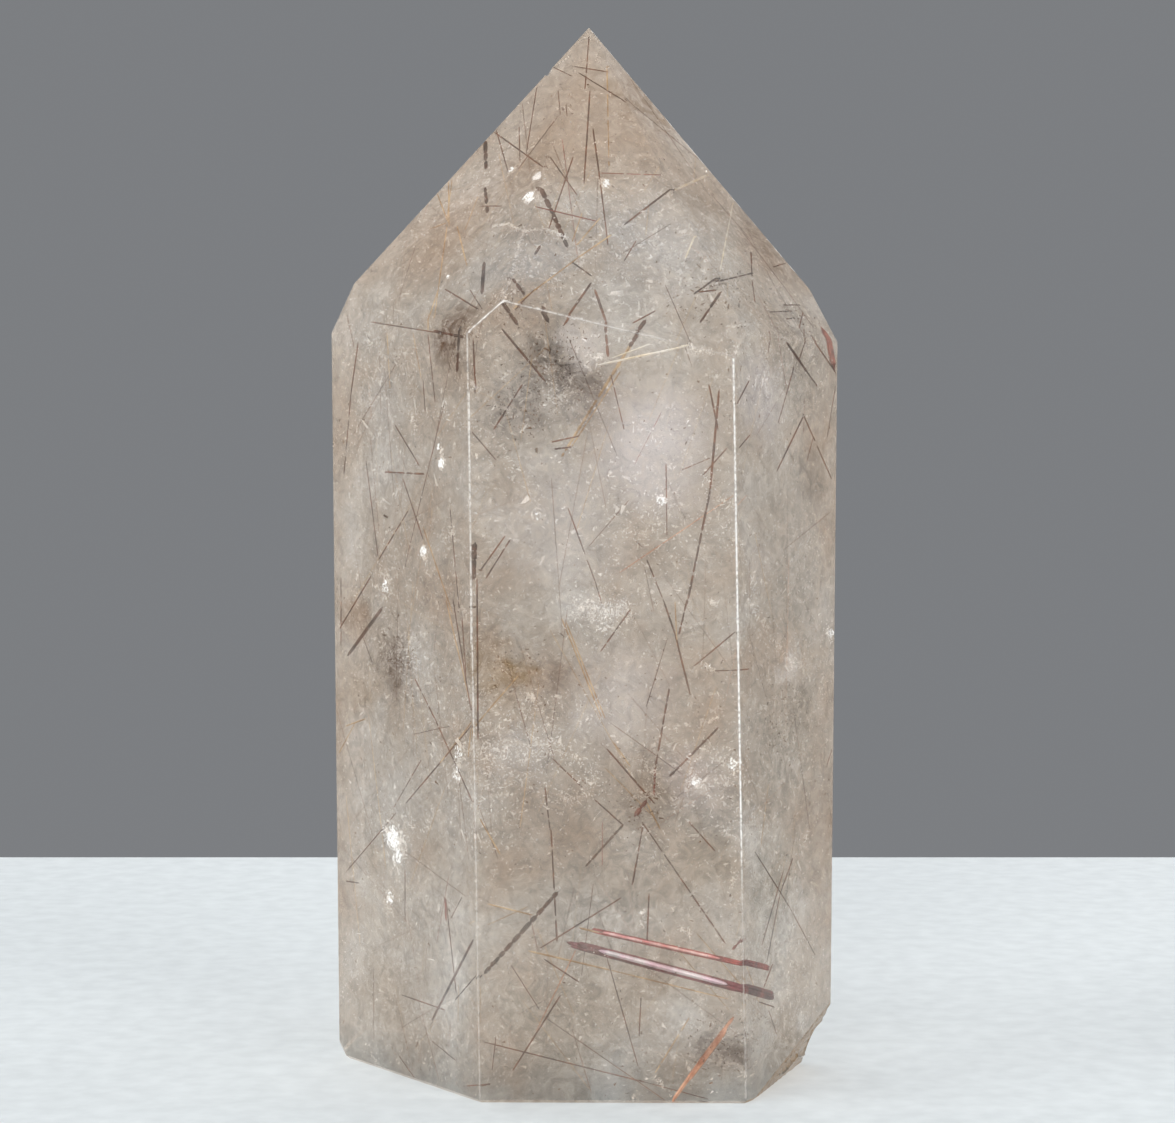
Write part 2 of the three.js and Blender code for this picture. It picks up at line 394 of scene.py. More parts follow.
def polishedQuartz():
    look = quartzLook
    material, tree = newMaterial("polishedQuartz")
    place = addNode(tree, "ShaderNodeTexCoord").outputs["Object"]
    patterns = {}
    for name, (size, detail, roughness) in look["patterns"].items():
        patterns[name] = addNode(tree, "ShaderNodeTexNoise", {
            "Scale": grainScale(size), "Detail": detail, "Roughness": roughness,
        }, {"Vector": place})
    patterns["mottle"].inputs["Distortion"].default_value = look["swirl"]
    shares = {}
    for name, (pattern, *limits) in look["shares"].items():
        settings = dict(zip(("From Min", "From Max", "To Min", "To Max"), limits))
        share = addNode(tree, "ShaderNodeMapRange", settings, {"Value": patterns[pattern].outputs["Fac"]})
        shares[name] = share.outputs["Result"]
    wander = patterns["wander"].outputs["Color"]

    plain = colourSteps(tree, patterns["cloud"].outputs["Fac"], look["tones"])
    placed = placeTones(tree, movedBy(tree, place, wander, look["raggedBy"]), plain)
    body = addNode(tree, "ShaderNodeMix", {"data_type": "RGBA"}, {0: shares["grainy"], 6: plain, 7: placed})
    mottled = addNode(tree, "ShaderNodeVectorMath", {"operation": "SCALE"}, {
        0: body.outputs[2], 3: shares["shade"],
    })
    edges = addNode(tree, "ShaderNodeAttribute", {"attribute_name": "worn"}).outputs["Fac"]
    broken = addNode(tree, "ShaderNodeAttribute", {"attribute_name": "broken"}).outputs["Fac"]
    tan = addNode(tree, "ShaderNodeMix", {
        "data_type": "RGBA", 7: fromHex(look["breakTan"]),
    }, {0: broken, 6: mottled.outputs[0]})
    rough = addNode(tree, "ShaderNodeMix", {3: look["breakRoughness"]}, {0: broken, 2: shares["polish"]})
    glassy = addNode(tree, "ShaderNodeBsdfPrincipled", {
        "IOR": quartzIor, "Transmission Weight": look["clear"],
    }, {"Base Color": tan.outputs[2], "Roughness": rough.outputs[0]})

    wear = addNode(tree, "ShaderNodeMath", {"operation": "MULTIPLY"}, {0: edges, 1: shares["wear"]})
    # painted glints: matt pure white patches that stand in for sparkles of reflected light
    paintedGlintShare = addNode(tree, "ShaderNodeMath", {"operation": "MULTIPLY"}, {
        0: placePaintedGlints(tree, movedBy(tree, place, wander, look["glintRaggedBy"])), 1: shares["ragged"],
    })
    paintedGlintPatches = addNode(tree, "ShaderNodeMapRange", {
        "From Min": look["glintEdge"][0], "From Max": look["glintEdge"][1], "To Max": look["glintWhite"],
    }, {"Value": paintedGlintShare.outputs[0]})
    specks = addNode(tree, "ShaderNodeMath", {"operation": "MULTIPLY"}, {
        0: shares["milky"], 1: shares["tiny"],
    })
    # matt white: the worn edges, the painted glints and the finest specks
    white = wear.outputs[0]
    for share in (paintedGlintPatches.outputs["Result"], specks.outputs[0]):
        white = addNode(tree, "ShaderNodeMath", {"operation": "MAXIMUM"}, {0: white, 1: share}).outputs[0]
    whiter = addNode(tree, "ShaderNodeMix", {
        "data_type": "RGBA", 7: fromHex(look["wearAndGlintWhite"]),
    }, {0: white, 6: tan.outputs[2]})
    matt = addNode(tree, "ShaderNodeBsdfPrincipled", {"IOR": quartzIor, "Roughness": look["mattRoughness"]}, {
        "Base Color": whiter.outputs[2],
    })
    cover = addNode(tree, "ShaderNodeMath", {"operation": "MAXIMUM"}, {0: white, 1: shares["veil"]})
    skin = addNode(tree, "ShaderNodeMixShader", {}, {
        0: cover.outputs[0], 1: glassy.outputs[0], 2: matt.outputs[0],
    })
    lampRay = addNode(tree, "ShaderNodeLightPath").outputs["Is Shadow Ray"]
    lampPass = addNode(tree, "ShaderNodeBsdfTransparent")  # lets the softboxes light the haze and the needles
    surface = addNode(tree, "ShaderNodeMixShader", {}, {
        0: lampRay, 1: skin.outputs[0], 2: lampPass.outputs[0],
    })

    depth = addNode(tree, "ShaderNodeVolumeAbsorption", {
        "Color": fromHex(look["absorbColour"]), "Density": look["absorbDensity"],
    })
    haze = addNode(tree, "ShaderNodeVolumeScatter", {
        "Color": fromHex(look["hazeColour"]), "Density": look["hazeDensity"],
        "Anisotropy": look["hazeForward"],
    })
    inside = addNode(tree, "ShaderNodeAddShader", {}, {0: depth.outputs[0], 1: haze.outputs[0]})
    addNode(tree, "ShaderNodeOutputMaterial", {}, {
        "Surface": surface.outputs[0], "Volume": inside.outputs[0],
    })
    return material


quartzShape = {
    "gridStep": 1.5,          # mm between the cuts that give the facets their mesh
    "handPolish": 0.012,      # mm, how far a facet dips out of flat
    "polishWave": 11,
    "sameCut": 0.002,
    "chipStep": 0.35,
    "chipSize": 0.05,         # mm that a worn strip eats into a facet
    "chipRoom": 0.4,          # but no more than this share of the shortest edge beside it
    "chipWaves": {0.6: 1, 4: 0.6},   # mm between chips, and how strong they are
    "breakStep": 0.45,
    "rippleDepth": 0.07,
    "rippleWave": 0.95,
    "rippleWobble": 1.6,
    "wobbleWave": 2.5,
    "breakGrain": 0.03,       # mm, the fine roughness of the break
    "breakGrainWave": 0.7,
    "strikePixel": (831, 1006),
    "strikeDepth": 0.1,
    "downward": -0.9,         # a facet that looks down more than this is the sawn foot
    "otherWear": 0.15,        # how white the edges are that handling has hardly touched
}
polishedKind, wornKind, brokenKind = 0, 1, 2

# Which way the facets look that meet at the whitest edges, and how white each edge is.
facetWays = {
    "front": (0, -1, 0),
    "left": (-0.8, -0.6, 0),
    "right": (0.84, -0.55, 0),
    "frontTip": (0.13, -0.8, 0.59),
    "leftTip": (-0.55, -0.58, 0.61),
    "rightTip": (0.68, -0.41, 0.6),
}
edgeWear = {   # the axis along the edge, two places on it in mm, and how white the edge is there
    ("front", "left"): (2, 26, 34, 0.5, 0.75),
    ("front", "right"): (2, 17, 25, 0.46, 1.3),
    ("front", "leftTip"): (0, -15, -7, 0.8, 1.0),
    ("front", "frontTip"): (0, -7, 9, 0.85, 0.35),
    ("front", "rightTip"): (0, 9, 13, 0.35, 0.6),
    ("leftTip", "frontTip"): (2, 70, 92, 0.3, 0.12),
}


def facetNumbers():
    ways = {name: np.array(way) for name, way in facetWays.items()}
    return {name: int(np.argmax(planeNormals @ way)) for name, way in ways.items()}


def strengthAt(place, numbers):  # how white the wear is there, from the two polished facets beside it
    nearest = set(np.argsort(planeReaches - planeNormals @ place)[:2].tolist())
    for pair, (axis, low, high, lowWhite, highWhite) in edgeWear.items():
        if nearest == {numbers[pair[0]], numbers[pair[1]]}:
            share = min(max((place[axis] - low) / (high - low), 0), 1)
            return lowWhite + (highWhite - lowWhite) * share
    return quartzShape["otherWear"]


def sliceFaces(shape, faces, direction, step=None):  # cuts them across a direction, at even steps or once
    across = Vector(direction).normalized()
    reach = [v.co.dot(across) for f in faces for v in f.verts]
    cuts = int((max(reach) - min(reach)) / step) if step else 1
    start = min(reach) + (max(reach) - min(reach) - (cuts - 1) * (step or 0)) / 2
    for n in range(cuts):
        edges = {e for f in faces for e in f.edges}
        corners = {v for f in faces for v in f.verts}
        cut = bmesh.ops.bisect_plane(
            shape, geom=list(faces) + list(edges) + list(corners), dist=quartzShape["sameCut"] * mm,
            plane_co=across * (start + n * (step or 0)), plane_no=across,
        )
        faces = [part for part in cut["geom"] if isinstance(part, bmesh.types.BMFace)]
    return faces


def sortFaces(shape, kind, facet):  # says what each face is: polished, worn or broken
    breakNormal, breakReach = breakPlane
    facetTurn, facetOff = facetLimits["onFacet"]
    breakTurn, breakOff = facetLimits["onBreak"]
    for n, face in enumerate(shape.faces):
        reach = face.normal.dot(face.verts[0].co) / mm
        same = [
            i for i, (normal, far) in enumerate(polishedPlanes)
            if (normal - face.normal).length < facetTurn and abs(reach - far) < facetOff
        ]
        below = breakReach - breakNormal.dot(face.calc_center_median() / mm)
        if same:
            face[kind], face[facet] = polishedKind, same[0]
        elif below < breakOff and (face.normal - breakNormal).length < breakTurn:
            face[kind], face[facet] = brokenKind, len(polishedPlanes)
        else:
            face[kind], face[facet] = wornKind, len(allPlanes) + n


def sliceStrips(shape, kind):  # cuts each worn strip once along its middle and many times across
    step = quartzShape["chipStep"] * mm
    for strip in [f for f in shape.faces if f[kind] == wornKind]:
        longest = max(strip.edges, key=lambda e: e.calc_length())
        if longest.calc_length() > 2 * step:
            along = (longest.verts[1].co - longest.verts[0].co).normalized()
            halves = sliceFaces(shape, [strip], along.cross(strip.normal))
            sliceFaces(shape, halves, along, step)


def chipEdges(shape, kind, facet):  # the worn strips eat unevenly into the facets beside them
    look = quartzShape
    shape.normal_update()
    moves = []
    for vert in shape.verts:
        flat = {f[facet]: f for f in vert.link_faces if f[kind] == polishedKind}
        worn = [f for f in vert.link_faces if f[kind] == wornKind]
        if len(flat) != 1 or not worn:
            continue
        face = next(iter(flat.values()))
        if face.normal.z < look["downward"]:
            continue
        inward = face.normal * worn[0].normal.dot(face.normal) - worn[0].normal
        bite = sum(size * noise.noise(vert.co / (wave * mm)) for wave, size in look["chipWaves"].items())
        room = look["chipRoom"] * min(e.calc_length() for e in vert.link_edges)
        moves.append((vert, inward.normalized() * min(max(0, bite) * look["chipSize"] * mm, room)))
    for vert, move in moves:
        vert.co += move


def dipAt(vert, wave):  # 0 to 1, changes over about that many mm
    return 0.5 + 0.5 * noise.noise(vert.co / (wave * mm))


def ripple(vert, strike):  # curved waves that spread from the blow, as on broken glass
    look = quartzShape
    far = (vert.co / mm - strike).length
    wobble = look["rippleWobble"] * noise.noise(vert.co / (look["wobbleWave"] * mm))
    wave = 0.5 + 0.5 * math.sin(2 * math.pi * far / look["rippleWave"] + wobble)
    return wave * look["rippleDepth"] + dipAt(vert, look["breakGrainWave"]) * look["breakGrain"]


def shapeFacets(shape, kind, facet):
    look = quartzShape
    strike = Vector(seenAt(look["strikePixel"], look["strikeDepth"]))
    moves = []
    for vert in shape.verts:
        kinds = {f[kind] for f in vert.link_faces}
        facets = {f[facet] for f in vert.link_faces}
        normal = vert.link_faces[0].normal
        if kinds == {polishedKind} and len(facets) == 1 and normal.z > look["downward"]:
            moves.append((vert, -normal * dipAt(vert, look["polishWave"]) * look["handPolish"] * mm))
        elif kinds == {brokenKind}:
            moves.append((vert, -breakPlane[0] * ripple(vert, strike) * mm))
    for vert, move in moves:
        vert.co += move


def buildQuartz(shape):
    look = quartzShape
    kind = shape.faces.layers.int.new("kind")
    facet = shape.faces.layers.int.new("facet")
    sortFaces(shape, kind, facet)
    sliceStrips(shape, kind)
    axes = ((1, 0, 0), (0, 1, 0), (0, 0, 1))
    for axis in axes:
        sliceFaces(shape, list(shape.faces), axis, look["gridStep"] * mm)
    for axis in axes:
        sliceFaces(shape, [f for f in shape.faces if f[kind] == brokenKind], axis, look["breakStep"] * mm)
    chipEdges(shape, kind, facet)
    shapeFacets(shape, kind, facet)
    bmesh.ops.triangulate(shape, faces=[f for f in shape.faces if len(f.verts) > 4])
    numbers = facetNumbers()
    worn = [
        strengthAt(np.array(v.co) / mm, numbers) if all(f[kind] == wornKind for f in v.link_faces) else 0
        for v in shape.verts
    ]
    broken = [float(face[kind] == brokenKind) for face in shape.faces]
    for face in shape.faces:
        face.smooth = face[kind] != wornKind
    for edge in shape.edges:
        edge.smooth = len({f[facet] for f in edge.link_faces}) == 1
    mesh = bpy.data.meshes.new("quartz")
    shape.to_mesh(mesh)
    shape.free()
    mesh.attributes.new("worn", "FLOAT", "POINT").data.foreach_set("value", worn)
    mesh.attributes.new("broken", "FLOAT", "FACE").data.foreach_set("value", broken)
    print("quartz", len(mesh.polygons), "faces")
    quartz = addObject("polishedTower", mesh, polishedQuartz())
    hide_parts("quartz_tower")


buildQuartz(stoneShape)


# Smooth random values from 0 to 1 that change over about one cell, for points in mm.
def cloudNoise(points, cell, seed):
    side = 32      # cells before the values repeat
    start = 200    # the cell at the middle of the foot, any number would do
    lattice = np.random.default_rng(seed).random((side, side, side))
    place = points / cell + start
    low = np.floor(place).astype(int)
    share = place - low
    share = share * share * (3 - 2 * share)
    total = np.zeros(len(points))
    for corner in itertools.product((0, 1), repeat=3):
        weight = np.prod(np.where(np.array(corner), share, 1 - share), axis=1)
        index = (low + np.array(corner)) % side
        total += weight * lattice[index[:, 0], index[:, 1], index[:, 2]]
    return total


def smoothStep(low, high, value):
    share = np.clip((value - low) / (high - low), 0, 1)
    return share * share * (3 - 2 * share)


# Places where white flecks or dark grains lie close together: pixel, depth and radius in mm, strength.
fleckedPlaces = {
    "shoulderCloud": ((655, 250), 5, 6, 0.9),
    "tipLeft": ((520, 245), 3, 4, 0.7),
    "upperSmoke": ((565, 385), 2.5, 3.2, 2.0),
    "upperLeft": ((385, 345), 2, 4, 0.9),
    "leftMiddle": ((385, 590), 2, 4, 1.4),
    "leftBelow": ((425, 700), 2.5, 3.5, 1.0),
    "heart": ((600, 612), 3, 3, 1.4),
    "band": ((520, 760), 3, 4.5, 1.8),
    "bandRight": ((700, 775), 3, 4.5, 1.6),
    "lowLeft": ((395, 840), 3, 3.5, 1.2),
    "middleRight": ((640, 520), 4, 5, 0.8),
    "rightUpper": ((765, 370), 2.5, 4, 1.0),
    "rightMiddle": ((800, 720), 2.5, 5, 0.9),
    "footRight": ((715, 1040), 2, 2.4, 1.6),
}
grainPlaces = {
    "upperSmoke": ((556, 365), 2.5, 2.6, 2.2),
    "upperSmokeLow": ((520, 405), 2.5, 2.4, 1.4),
    "shoulderSmoke": ((448, 343), 1.5, 1.8, 1.6),
    "leftSmoke": ((397, 662), 1.6, 2.2, 2.2),
    "goldStain": ((512, 674), 2, 2.4, 1.0),
    "rightShoulder": ((715, 290), 2, 3.0, 0.7),
    "rightShoulderLow": ((790, 312), 1.5, 2.5, 0.6),
    "tipBreak": ((515, 300), 1.5, 2.0, 0.6),
    "lowDark": ((640, 808), 3, 1.8, 1.2),
    "footSmoke": ((720, 1042), 2, 2.2, 1.2),
    "rightMiddle": ((785, 720), 2, 3.0, 0.9),
}


def closeTo(points, places):
    total = np.zeros(len(points))
    for pixel, depth, radius, strength in places.values():
        far = np.linalg.norm(points - seenAt(pixel, depth), axis=1)
        total += strength * np.exp(-(far / radius) ** 2)
    return total


# How close together flecks and grains lie: layers of noise as share, cell in mm and seed, then the least
# density, what the noise adds and between which of its values, and the places where more of them lie.
fleckSpread = {
    "layers": ((0.5, 8, 1), (0.3, 3, 2), (0.2, 1.2, 3)),
    "least": 0.08, "added": 0.6, "between": (0.45, 0.7), "places": fleckedPlaces,
}
grainSpread = {
    "layers": ((0.5, 6, 4), (0.5, 1.5, 5)),
    "least": 0.02, "added": 0.06, "between": (0.5, 0.75), "places": grainPlaces,
}
fullDensity = 2.2   # the density at which every point is kept


def densityAt(points, spread):
    value = sum(share * cloudNoise(points, cell, seed) for share, cell, seed in spread["layers"])
    plain = spread["least"] + spread["added"] * smoothStep(*spread["between"], value)
    return plain + closeTo(points, spread["places"])


# Random points in the stone, more where the density is higher, or even ones without a spread.
def scatter(rng, count, spread, shallow, deep=math.inf):
    kept = np.zeros((0, 3))
    while len(kept) < count:
        points = rng.uniform(boxLow, boxHigh, (count * 3, 3))
        inside = depthInside(points)
        points = points[(inside > shallow) & (inside < deep)]
        value = densityAt(points, spread) if spread else np.ones(len(points))
        points = points[rng.random(len(points)) * fullDensity < value]
        kept = np.concatenate((kept, points))
    return kept[:count]


def randomTurns(rng, count):  # rotation matrices, from even random quaternions
    turns = rng.normal(size=(count, 4))
    w, x, y, z = (turns / np.linalg.norm(turns, axis=1)[:, None]).T
    rows = (
        (1 - 2 * (y * y + z * z), 2 * (x * y - z * w), 2 * (x * z + y * w)),
        (2 * (x * y + z * w), 1 - 2 * (x * x + z * z), 2 * (y * z - x * w)),
        (2 * (x * z - y * w), 2 * (y * z + x * w), 1 - 2 * (x * x + y * y)),
    )
    return np.array(rows).transpose(2, 0, 1)


shardShape = {"sizeSpread": 0.35, "cornerSpread": (0.6, 1.4), "drawnOut": 0.9}


# Closed four-cornered shards around the points, of uneven size, some drawn out into slivers. Flatness 1 is a
# lump, 0.1 a flake.
def shards(rng, points, edge, flatness=0.7):
    corner = np.array(((1, 1, 1), (1, -1, -1), (-1, 1, -1), (-1, -1, 1))) / math.sqrt(8)   # its edge is 1
    sides = np.array(((0, 1, 2), (0, 3, 1), (0, 2, 3), (1, 3, 2)))
    count = len(points)
    size = edge * rng.lognormal(0, shardShape["sizeSpread"], count)[:, None, None]
    form = corner * (1, 1, flatness) * rng.uniform(*shardShape["cornerSpread"], (count, 4, 1)) * size
    form[:, :, 0] *= 1 + rng.exponential(shardShape["drawnOut"], count)[:, None]
    places = np.einsum("nij,nkj->nki", randomTurns(rng, count), form) + points[:, None, :]
    corners = sides[None] + 4 * np.arange(count)[:, None, None]
    return places.reshape(-1, 3), corners.reshape(-1, 3)


# White flecks that stand out in the photograph, scattered along a line of pixels: the line, its half width
# in mm, their number, their size in mm and their depth.
whiteFlecks = {
    "tipSparkle": (((524, 203), (530, 197), (535, 190)), 0.16, 60, 0.26, 0.5),
    "tipSparkleRight": (((602, 180), (607, 187)), 0.2, 60, 0.22, 0.5),
    "tipSparkleLeft": (((509, 173), (520, 164)), 0.14, 34, 0.18, 0.5),
    "slopeSparkle": (((459, 178), (464, 173)), 0.2, 20, 0.14, 0.4),
    "slopeGlint": (((446, 276), (449, 278)), 0.1, 14, 0.16, 0.4),
    "pointGlints": (((588, 45), (601, 60), (610, 70)), 0.1, 12, 0.13, 0.4),
    "tipRing": (((616, 113), (621, 119), (625, 112)), 0.1, 18, 0.12, 0.7),
    "slopeChip": (((701, 167), (706, 172)), 0.1, 16, 0.16, 0.3),
    "tipArc": (((492, 226), (508, 224), (525, 231), (545, 229), (568, 238)), 0.08, 320, 0.14, 0.5),
    "tipArcDown": (((524, 233), (516, 255), (507, 285)), 0.07, 130, 0.12, 0.5),
    "tipArcLow": (((465, 262), (485, 259), (506, 262)), 0.07, 34, 0.09, 0.8),
    "cornerPatch": (((498, 293), (506, 298)), 0.3, 60, 0.16, 0.4),
    "cornerStar": (((737, 347), (737, 356), (741, 351)), 0.12, 26, 0.12, 0.3),
    "shoulderSquiggle": (((688, 346), (697, 353), (704, 348), (712, 354)), 0.12, 60, 0.13, 0.7),
    "upperGlint": (((596, 358), (601, 356)), 0.14, 40, 0.2, 0.8),
    "smokeFlecks": (((553, 372), (560, 380), (568, 378), (562, 394), (548, 398)), 0.5, 150, 0.13, 0.8),
    "middleArc": (((630, 421), (640, 424), (650, 436), (660, 440)), 0.25, 60, 0.12, 1.2),
    "middleGlint": (((660, 499), (664, 500)), 0.16, 60, 0.26, 0.8),
    "middleTrail": (((652, 510), (655, 525), (645, 536), (620, 531)), 0.35, 110, 0.13, 1.6),
    "heartPatch": (((575, 606), (600, 613), (628, 609)), 0.55, 420, 0.14, 1.2),
    "leftGlint": (((441, 448), (443, 462), (442, 470)), 0.16, 80, 0.24, 0.6),
    "leftGlintLow": (((423, 547), (426, 560)), 0.18, 60, 0.24, 0.6),
    "leftTrail": (((382, 571), (390, 585), (386, 598)), 0.45, 110, 0.15, 0.8),
    "leftHigh": (((366, 332), (370, 342)), 0.3, 50, 0.14, 0.6),
    "leftSoft": (((410, 415), (416, 424)), 0.4, 70, 0.12, 1.0),
    "beadsHigh": (((452, 524), (447, 540), (454, 530)), 0.3, 60, 0.14, 0.6),
    "beadsEdge": (((461, 606), (467, 618)), 0.15, 30, 0.14, 0.4),
    "seamBlob": (((462, 746), (459, 762), (457, 782)), 0.32, 150, 0.2, 0.7),
    "seamBeads": (((455, 797), (455, 833)), 0.1, 30, 0.12, 0.5),
    "bigGlint": (((386, 832), (396, 838), (403, 846), (396, 858)), 0.42, 300, 0.26, 0.7),
    "bigGlintTrail": (((402, 818), (423, 835), (432, 806)), 0.3, 80, 0.15, 0.8),
    "lowPatch": (((390, 890), (389, 912)), 0.35, 90, 0.17, 0.8),
    "leftSmokeFlecks": (((378, 640), (392, 655), (408, 648), (412, 672)), 0.8, 260, 0.13, 0.7),
    "goldFlecks": (((484, 640), (500, 655), (520, 690)), 0.7, 110, 0.11, 0.9),
    "goldGlint": (((527, 695), (533, 700)), 0.16, 50, 0.24, 0.7),
    "bandMain": (((470, 752), (500, 757), (545, 748), (580, 760), (600, 785)), 0.7, 520, 0.14, 1.2),
    "bandLow": (((548, 803), (565, 795), (590, 798)), 0.5, 160, 0.14, 1.2),
    "bandUpper": (((520, 715), (560, 710), (610, 712)), 0.8, 200, 0.13, 1.6),
    "centreKnot": (((640, 760), (655, 772), (650, 790)), 0.35, 120, 0.13, 1.2),
    "knotStreak": (((622, 800), (645, 796), (668, 791)), 0.12, 80, 0.12, 1.0),
    "rightPatch": (((692, 774), (699, 784)), 0.34, 90, 0.14, 0.8),
    "rightStreak": (((702, 723), (718, 718)), 0.1, 50, 0.15, 0.6),
    "rightStreakHigh": (((702, 663), (714, 671)), 0.14, 50, 0.18, 0.6),
    "rightBeads": (((718, 757), (735, 762), (732, 780)), 0.25, 100, 0.14, 0.7),
    "rightSoft": (((711, 598), (714, 606)), 0.2, 50, 0.18, 0.9),
    "edgeCloud": (((722, 498), (730, 504)), 0.4, 70, 0.13, 0.6),
    "veilTip": (((789, 657), (796, 666)), 0.3, 60, 0.16, 0.6),
    "veilLine": (((743, 588), (765, 629), (786, 657), (809, 670)), 0.2, 260, 0.14, 0.5),
    "veilWisp": (((700, 470), (735, 540), (760, 600)), 0.3, 180, 0.12, 0.8),
    "leftVeil": (((412, 411), (452, 415), (490, 440), (540, 500)), 0.35, 260, 0.12, 0.9),
    "sideCloud": (((828, 630), (831, 640)), 0.2, 50, 0.16, 0.4),
    "sideStreaks": (((765, 350), (766, 372), (767, 396)), 0.25, 90, 0.12, 0.7),
    "sideLow": (((800, 850), (808, 836)), 0.25, 60, 0.13, 0.7),
    "ringHigh": (((731, 872), (737, 876), (733, 880), (731, 890)), 0.12, 44, 0.15, 0.5),
    "ringLow": (((723, 828), (727, 833), (729, 828)), 0.12, 26, 0.13, 0.5),
    "streakLow": (((644, 910), (642, 926)), 0.14, 50, 0.16, 0.8),
    "squiggleLow": (((680, 927), (686, 932), (691, 930), (690, 942)), 0.14, 50, 0.15, 0.8),
    "dotLow": (((578, 998), (579, 1004)), 0.08, 16, 0.17, 0.6),
    "arcFoot": (((652, 1078), (660, 1082), (664, 1090)), 0.1, 50, 0.13, 0.6),
    "arcFootLeft": (((632, 1094), (637, 1098), (637, 1090)), 0.1, 26, 0.12, 0.6),
    "footFlecks": (((371, 1053), (377, 1064)), 0.15, 24, 0.13, 0.4),
    "footFlecksMore": (((419, 1020), (393, 998)), 0.3, 20, 0.13, 0.5),
    "longArc": (((481, 888), (499, 872), (536, 865)), 0.08, 60, 0.1, 1.0),
    "slopeStreak": (((677, 189), (709, 175)), 0.04, 90, 0.12, 0.6),
    "curvedFibre": (((488, 904), (510, 908), (540, 915)), 0.05, 60, 0.08, 1.0),
}


def flecksAlong(rng, line, halfWidth, count, depth):  # close together on the line and thin beside it
    corners = np.array([seenAt(pixel, depth) for pixel in line])
    lengths = np.linalg.norm(np.diff(corners, axis=0), axis=1)
    at = rng.uniform(0, lengths.sum(), count)
    reach = np.concatenate(((0,), np.cumsum(lengths)))
    points = np.stack([np.interp(at, reach, corners[:, axis]) for axis in range(3)], axis=1)
    points = points + rng.normal(size=(count, 3)) * halfWidth * hazeShape["lineSpread"]
    return pushInside(points, hazeShape["lineMargin"])


# Healed cracks and tiny hollows in the crystal, bright white where their walls throw the light back, and
# dark brown grains in the smoky places. Both are matt and finer than the eye can part.
hazeLook = {
    "white": {0.35: "#f3efea", 0.65: "#ffffff"},
    "dark": {0.35: "#49301b", 0.65: "#866341"},
    "patchSize": 3,
    "roughness": 0.9,
}


def mattGrain(name, steps):
    material, tree = newMaterial(name)
    place = addNode(tree, "ShaderNodeTexCoord").outputs["Object"]
    patches = addNode(tree, "ShaderNodeTexNoise", {
        "Scale": grainScale(hazeLook["patchSize"]), "Detail": 3.0,
    }, {"Vector": place})
    shader = addNode(tree, "ShaderNodeBsdfPrincipled", {"Roughness": hazeLook["roughness"]}, {
        "Base Color": colourSteps(tree, patches.outputs["Fac"], steps),
    })
    addNode(tree, "ShaderNodeOutputMaterial", {}, {"Surface": shader.outputs[0]})
    return material


hazeShape = {
    # number, edge in mm, and how deep in mm they lie
    "fineCount": 16000, "fineEdge": 0.1, "fineTo": 3.5,
    "deepCount": 6000, "deepEdge": 0.2, "deepFrom": 2.5,
    "grainCount": 5000, "grainEdge": 0.1, "grainTo": 3.5,
    "skin": 0.25,               # mm under the facets that stays free of the scattered ones
    "lineEdge": 0.75,           # the flecks along a line are this much smaller than their row says
    "lineFlatness": 0.5,
    "lineSpread": (1, 0.6, 1),  # and spread less from front to back
    "lineMargin": 0.12,
    "seed": 11,
}


def buildHaze():
    look = hazeShape
    rng = np.random.default_rng(look["seed"])
    white = mattGrain("healedQuartzCracks", hazeLook["white"])
    points = scatter(rng, look["fineCount"], fleckSpread, look["skin"], look["fineTo"])
    places, corners = shards(rng, points, look["fineEdge"])
    for line, halfWidth, count, edge, depth in whiteFlecks.values():
        points = flecksAlong(rng, line, halfWidth, count, depth)
        more, sides = shards(rng, points, edge * look["lineEdge"], look["lineFlatness"])
        corners = np.concatenate((corners, sides + len(places)))
        places = np.concatenate((places, more))
    makePiece("whiteFlecks", places, corners, white)
    points = scatter(rng, look["deepCount"], fleckSpread, look["deepFrom"])
    makePiece("deepFlecks", *shards(rng, points, look["deepEdge"]), white)
    points = scatter(rng, look["grainCount"], grainSpread, look["skin"], look["grainTo"])
    dark = mattGrain("smokyQuartzGrains", hazeLook["dark"])
    makePiece("smokyGrains", *shards(rng, points, look["grainEdge"]), dark)


buildHaze()


steepRise = 0.8   # a line that rises more is measured against the level


def frameAlong(start, end):  # unit vectors along and across a line
    along = (end - start) / np.linalg.norm(end - start)
    helper = np.array((1.0, 0, 0) if abs(along[2]) > steepRise else (0, 0, 1.0))
    side = np.cross(along, helper)
    side = side / np.linalg.norm(side)
    return along, side, np.cross(along, side)


needleProfile = {0: 0.55, 0.06: 0.9, 0.5: 1, 0.94: 0.9, 1: 0.55}   # its width along its length
dashShape = {"length": (0.5, 1.5), "width": (0.8, 1.15), "gap": (0.03, 0.22)}


# Adds a closed straight needle, pointed at both ends, to a bundle of places and corners.
def addNeedle(bundle, start, end, radius, sides=5):
    start, end = np.asarray(start, float), np.asarray(end, float)
    along, side, up = frameAlong(start, end)
    first = len(bundle["places"])
    for share, width in needleProfile.items():
        for n in range(sides):
            turn = 2 * math.pi * n / sides
            out = side * math.cos(turn) + up * math.sin(turn)
            bundle["places"].append(start + (end - start) * share + out * radius * width)
    bundle["places"] += [start - along * radius, end + along * radius]
    last = first + len(needleProfile) * sides
    for n in range(sides):
        m = (n + 1) % sides
        for ring in range(len(needleProfile) - 1):
            a, b = first + ring * sides + n, first + ring * sides + m
            bundle["corners"] += [(a, b, b + sides), (a, b + sides, a + sides)]
        bundle["corners"] += [(last, first + m, first + n), (last + 1, last - sides + n, last - sides + m)]


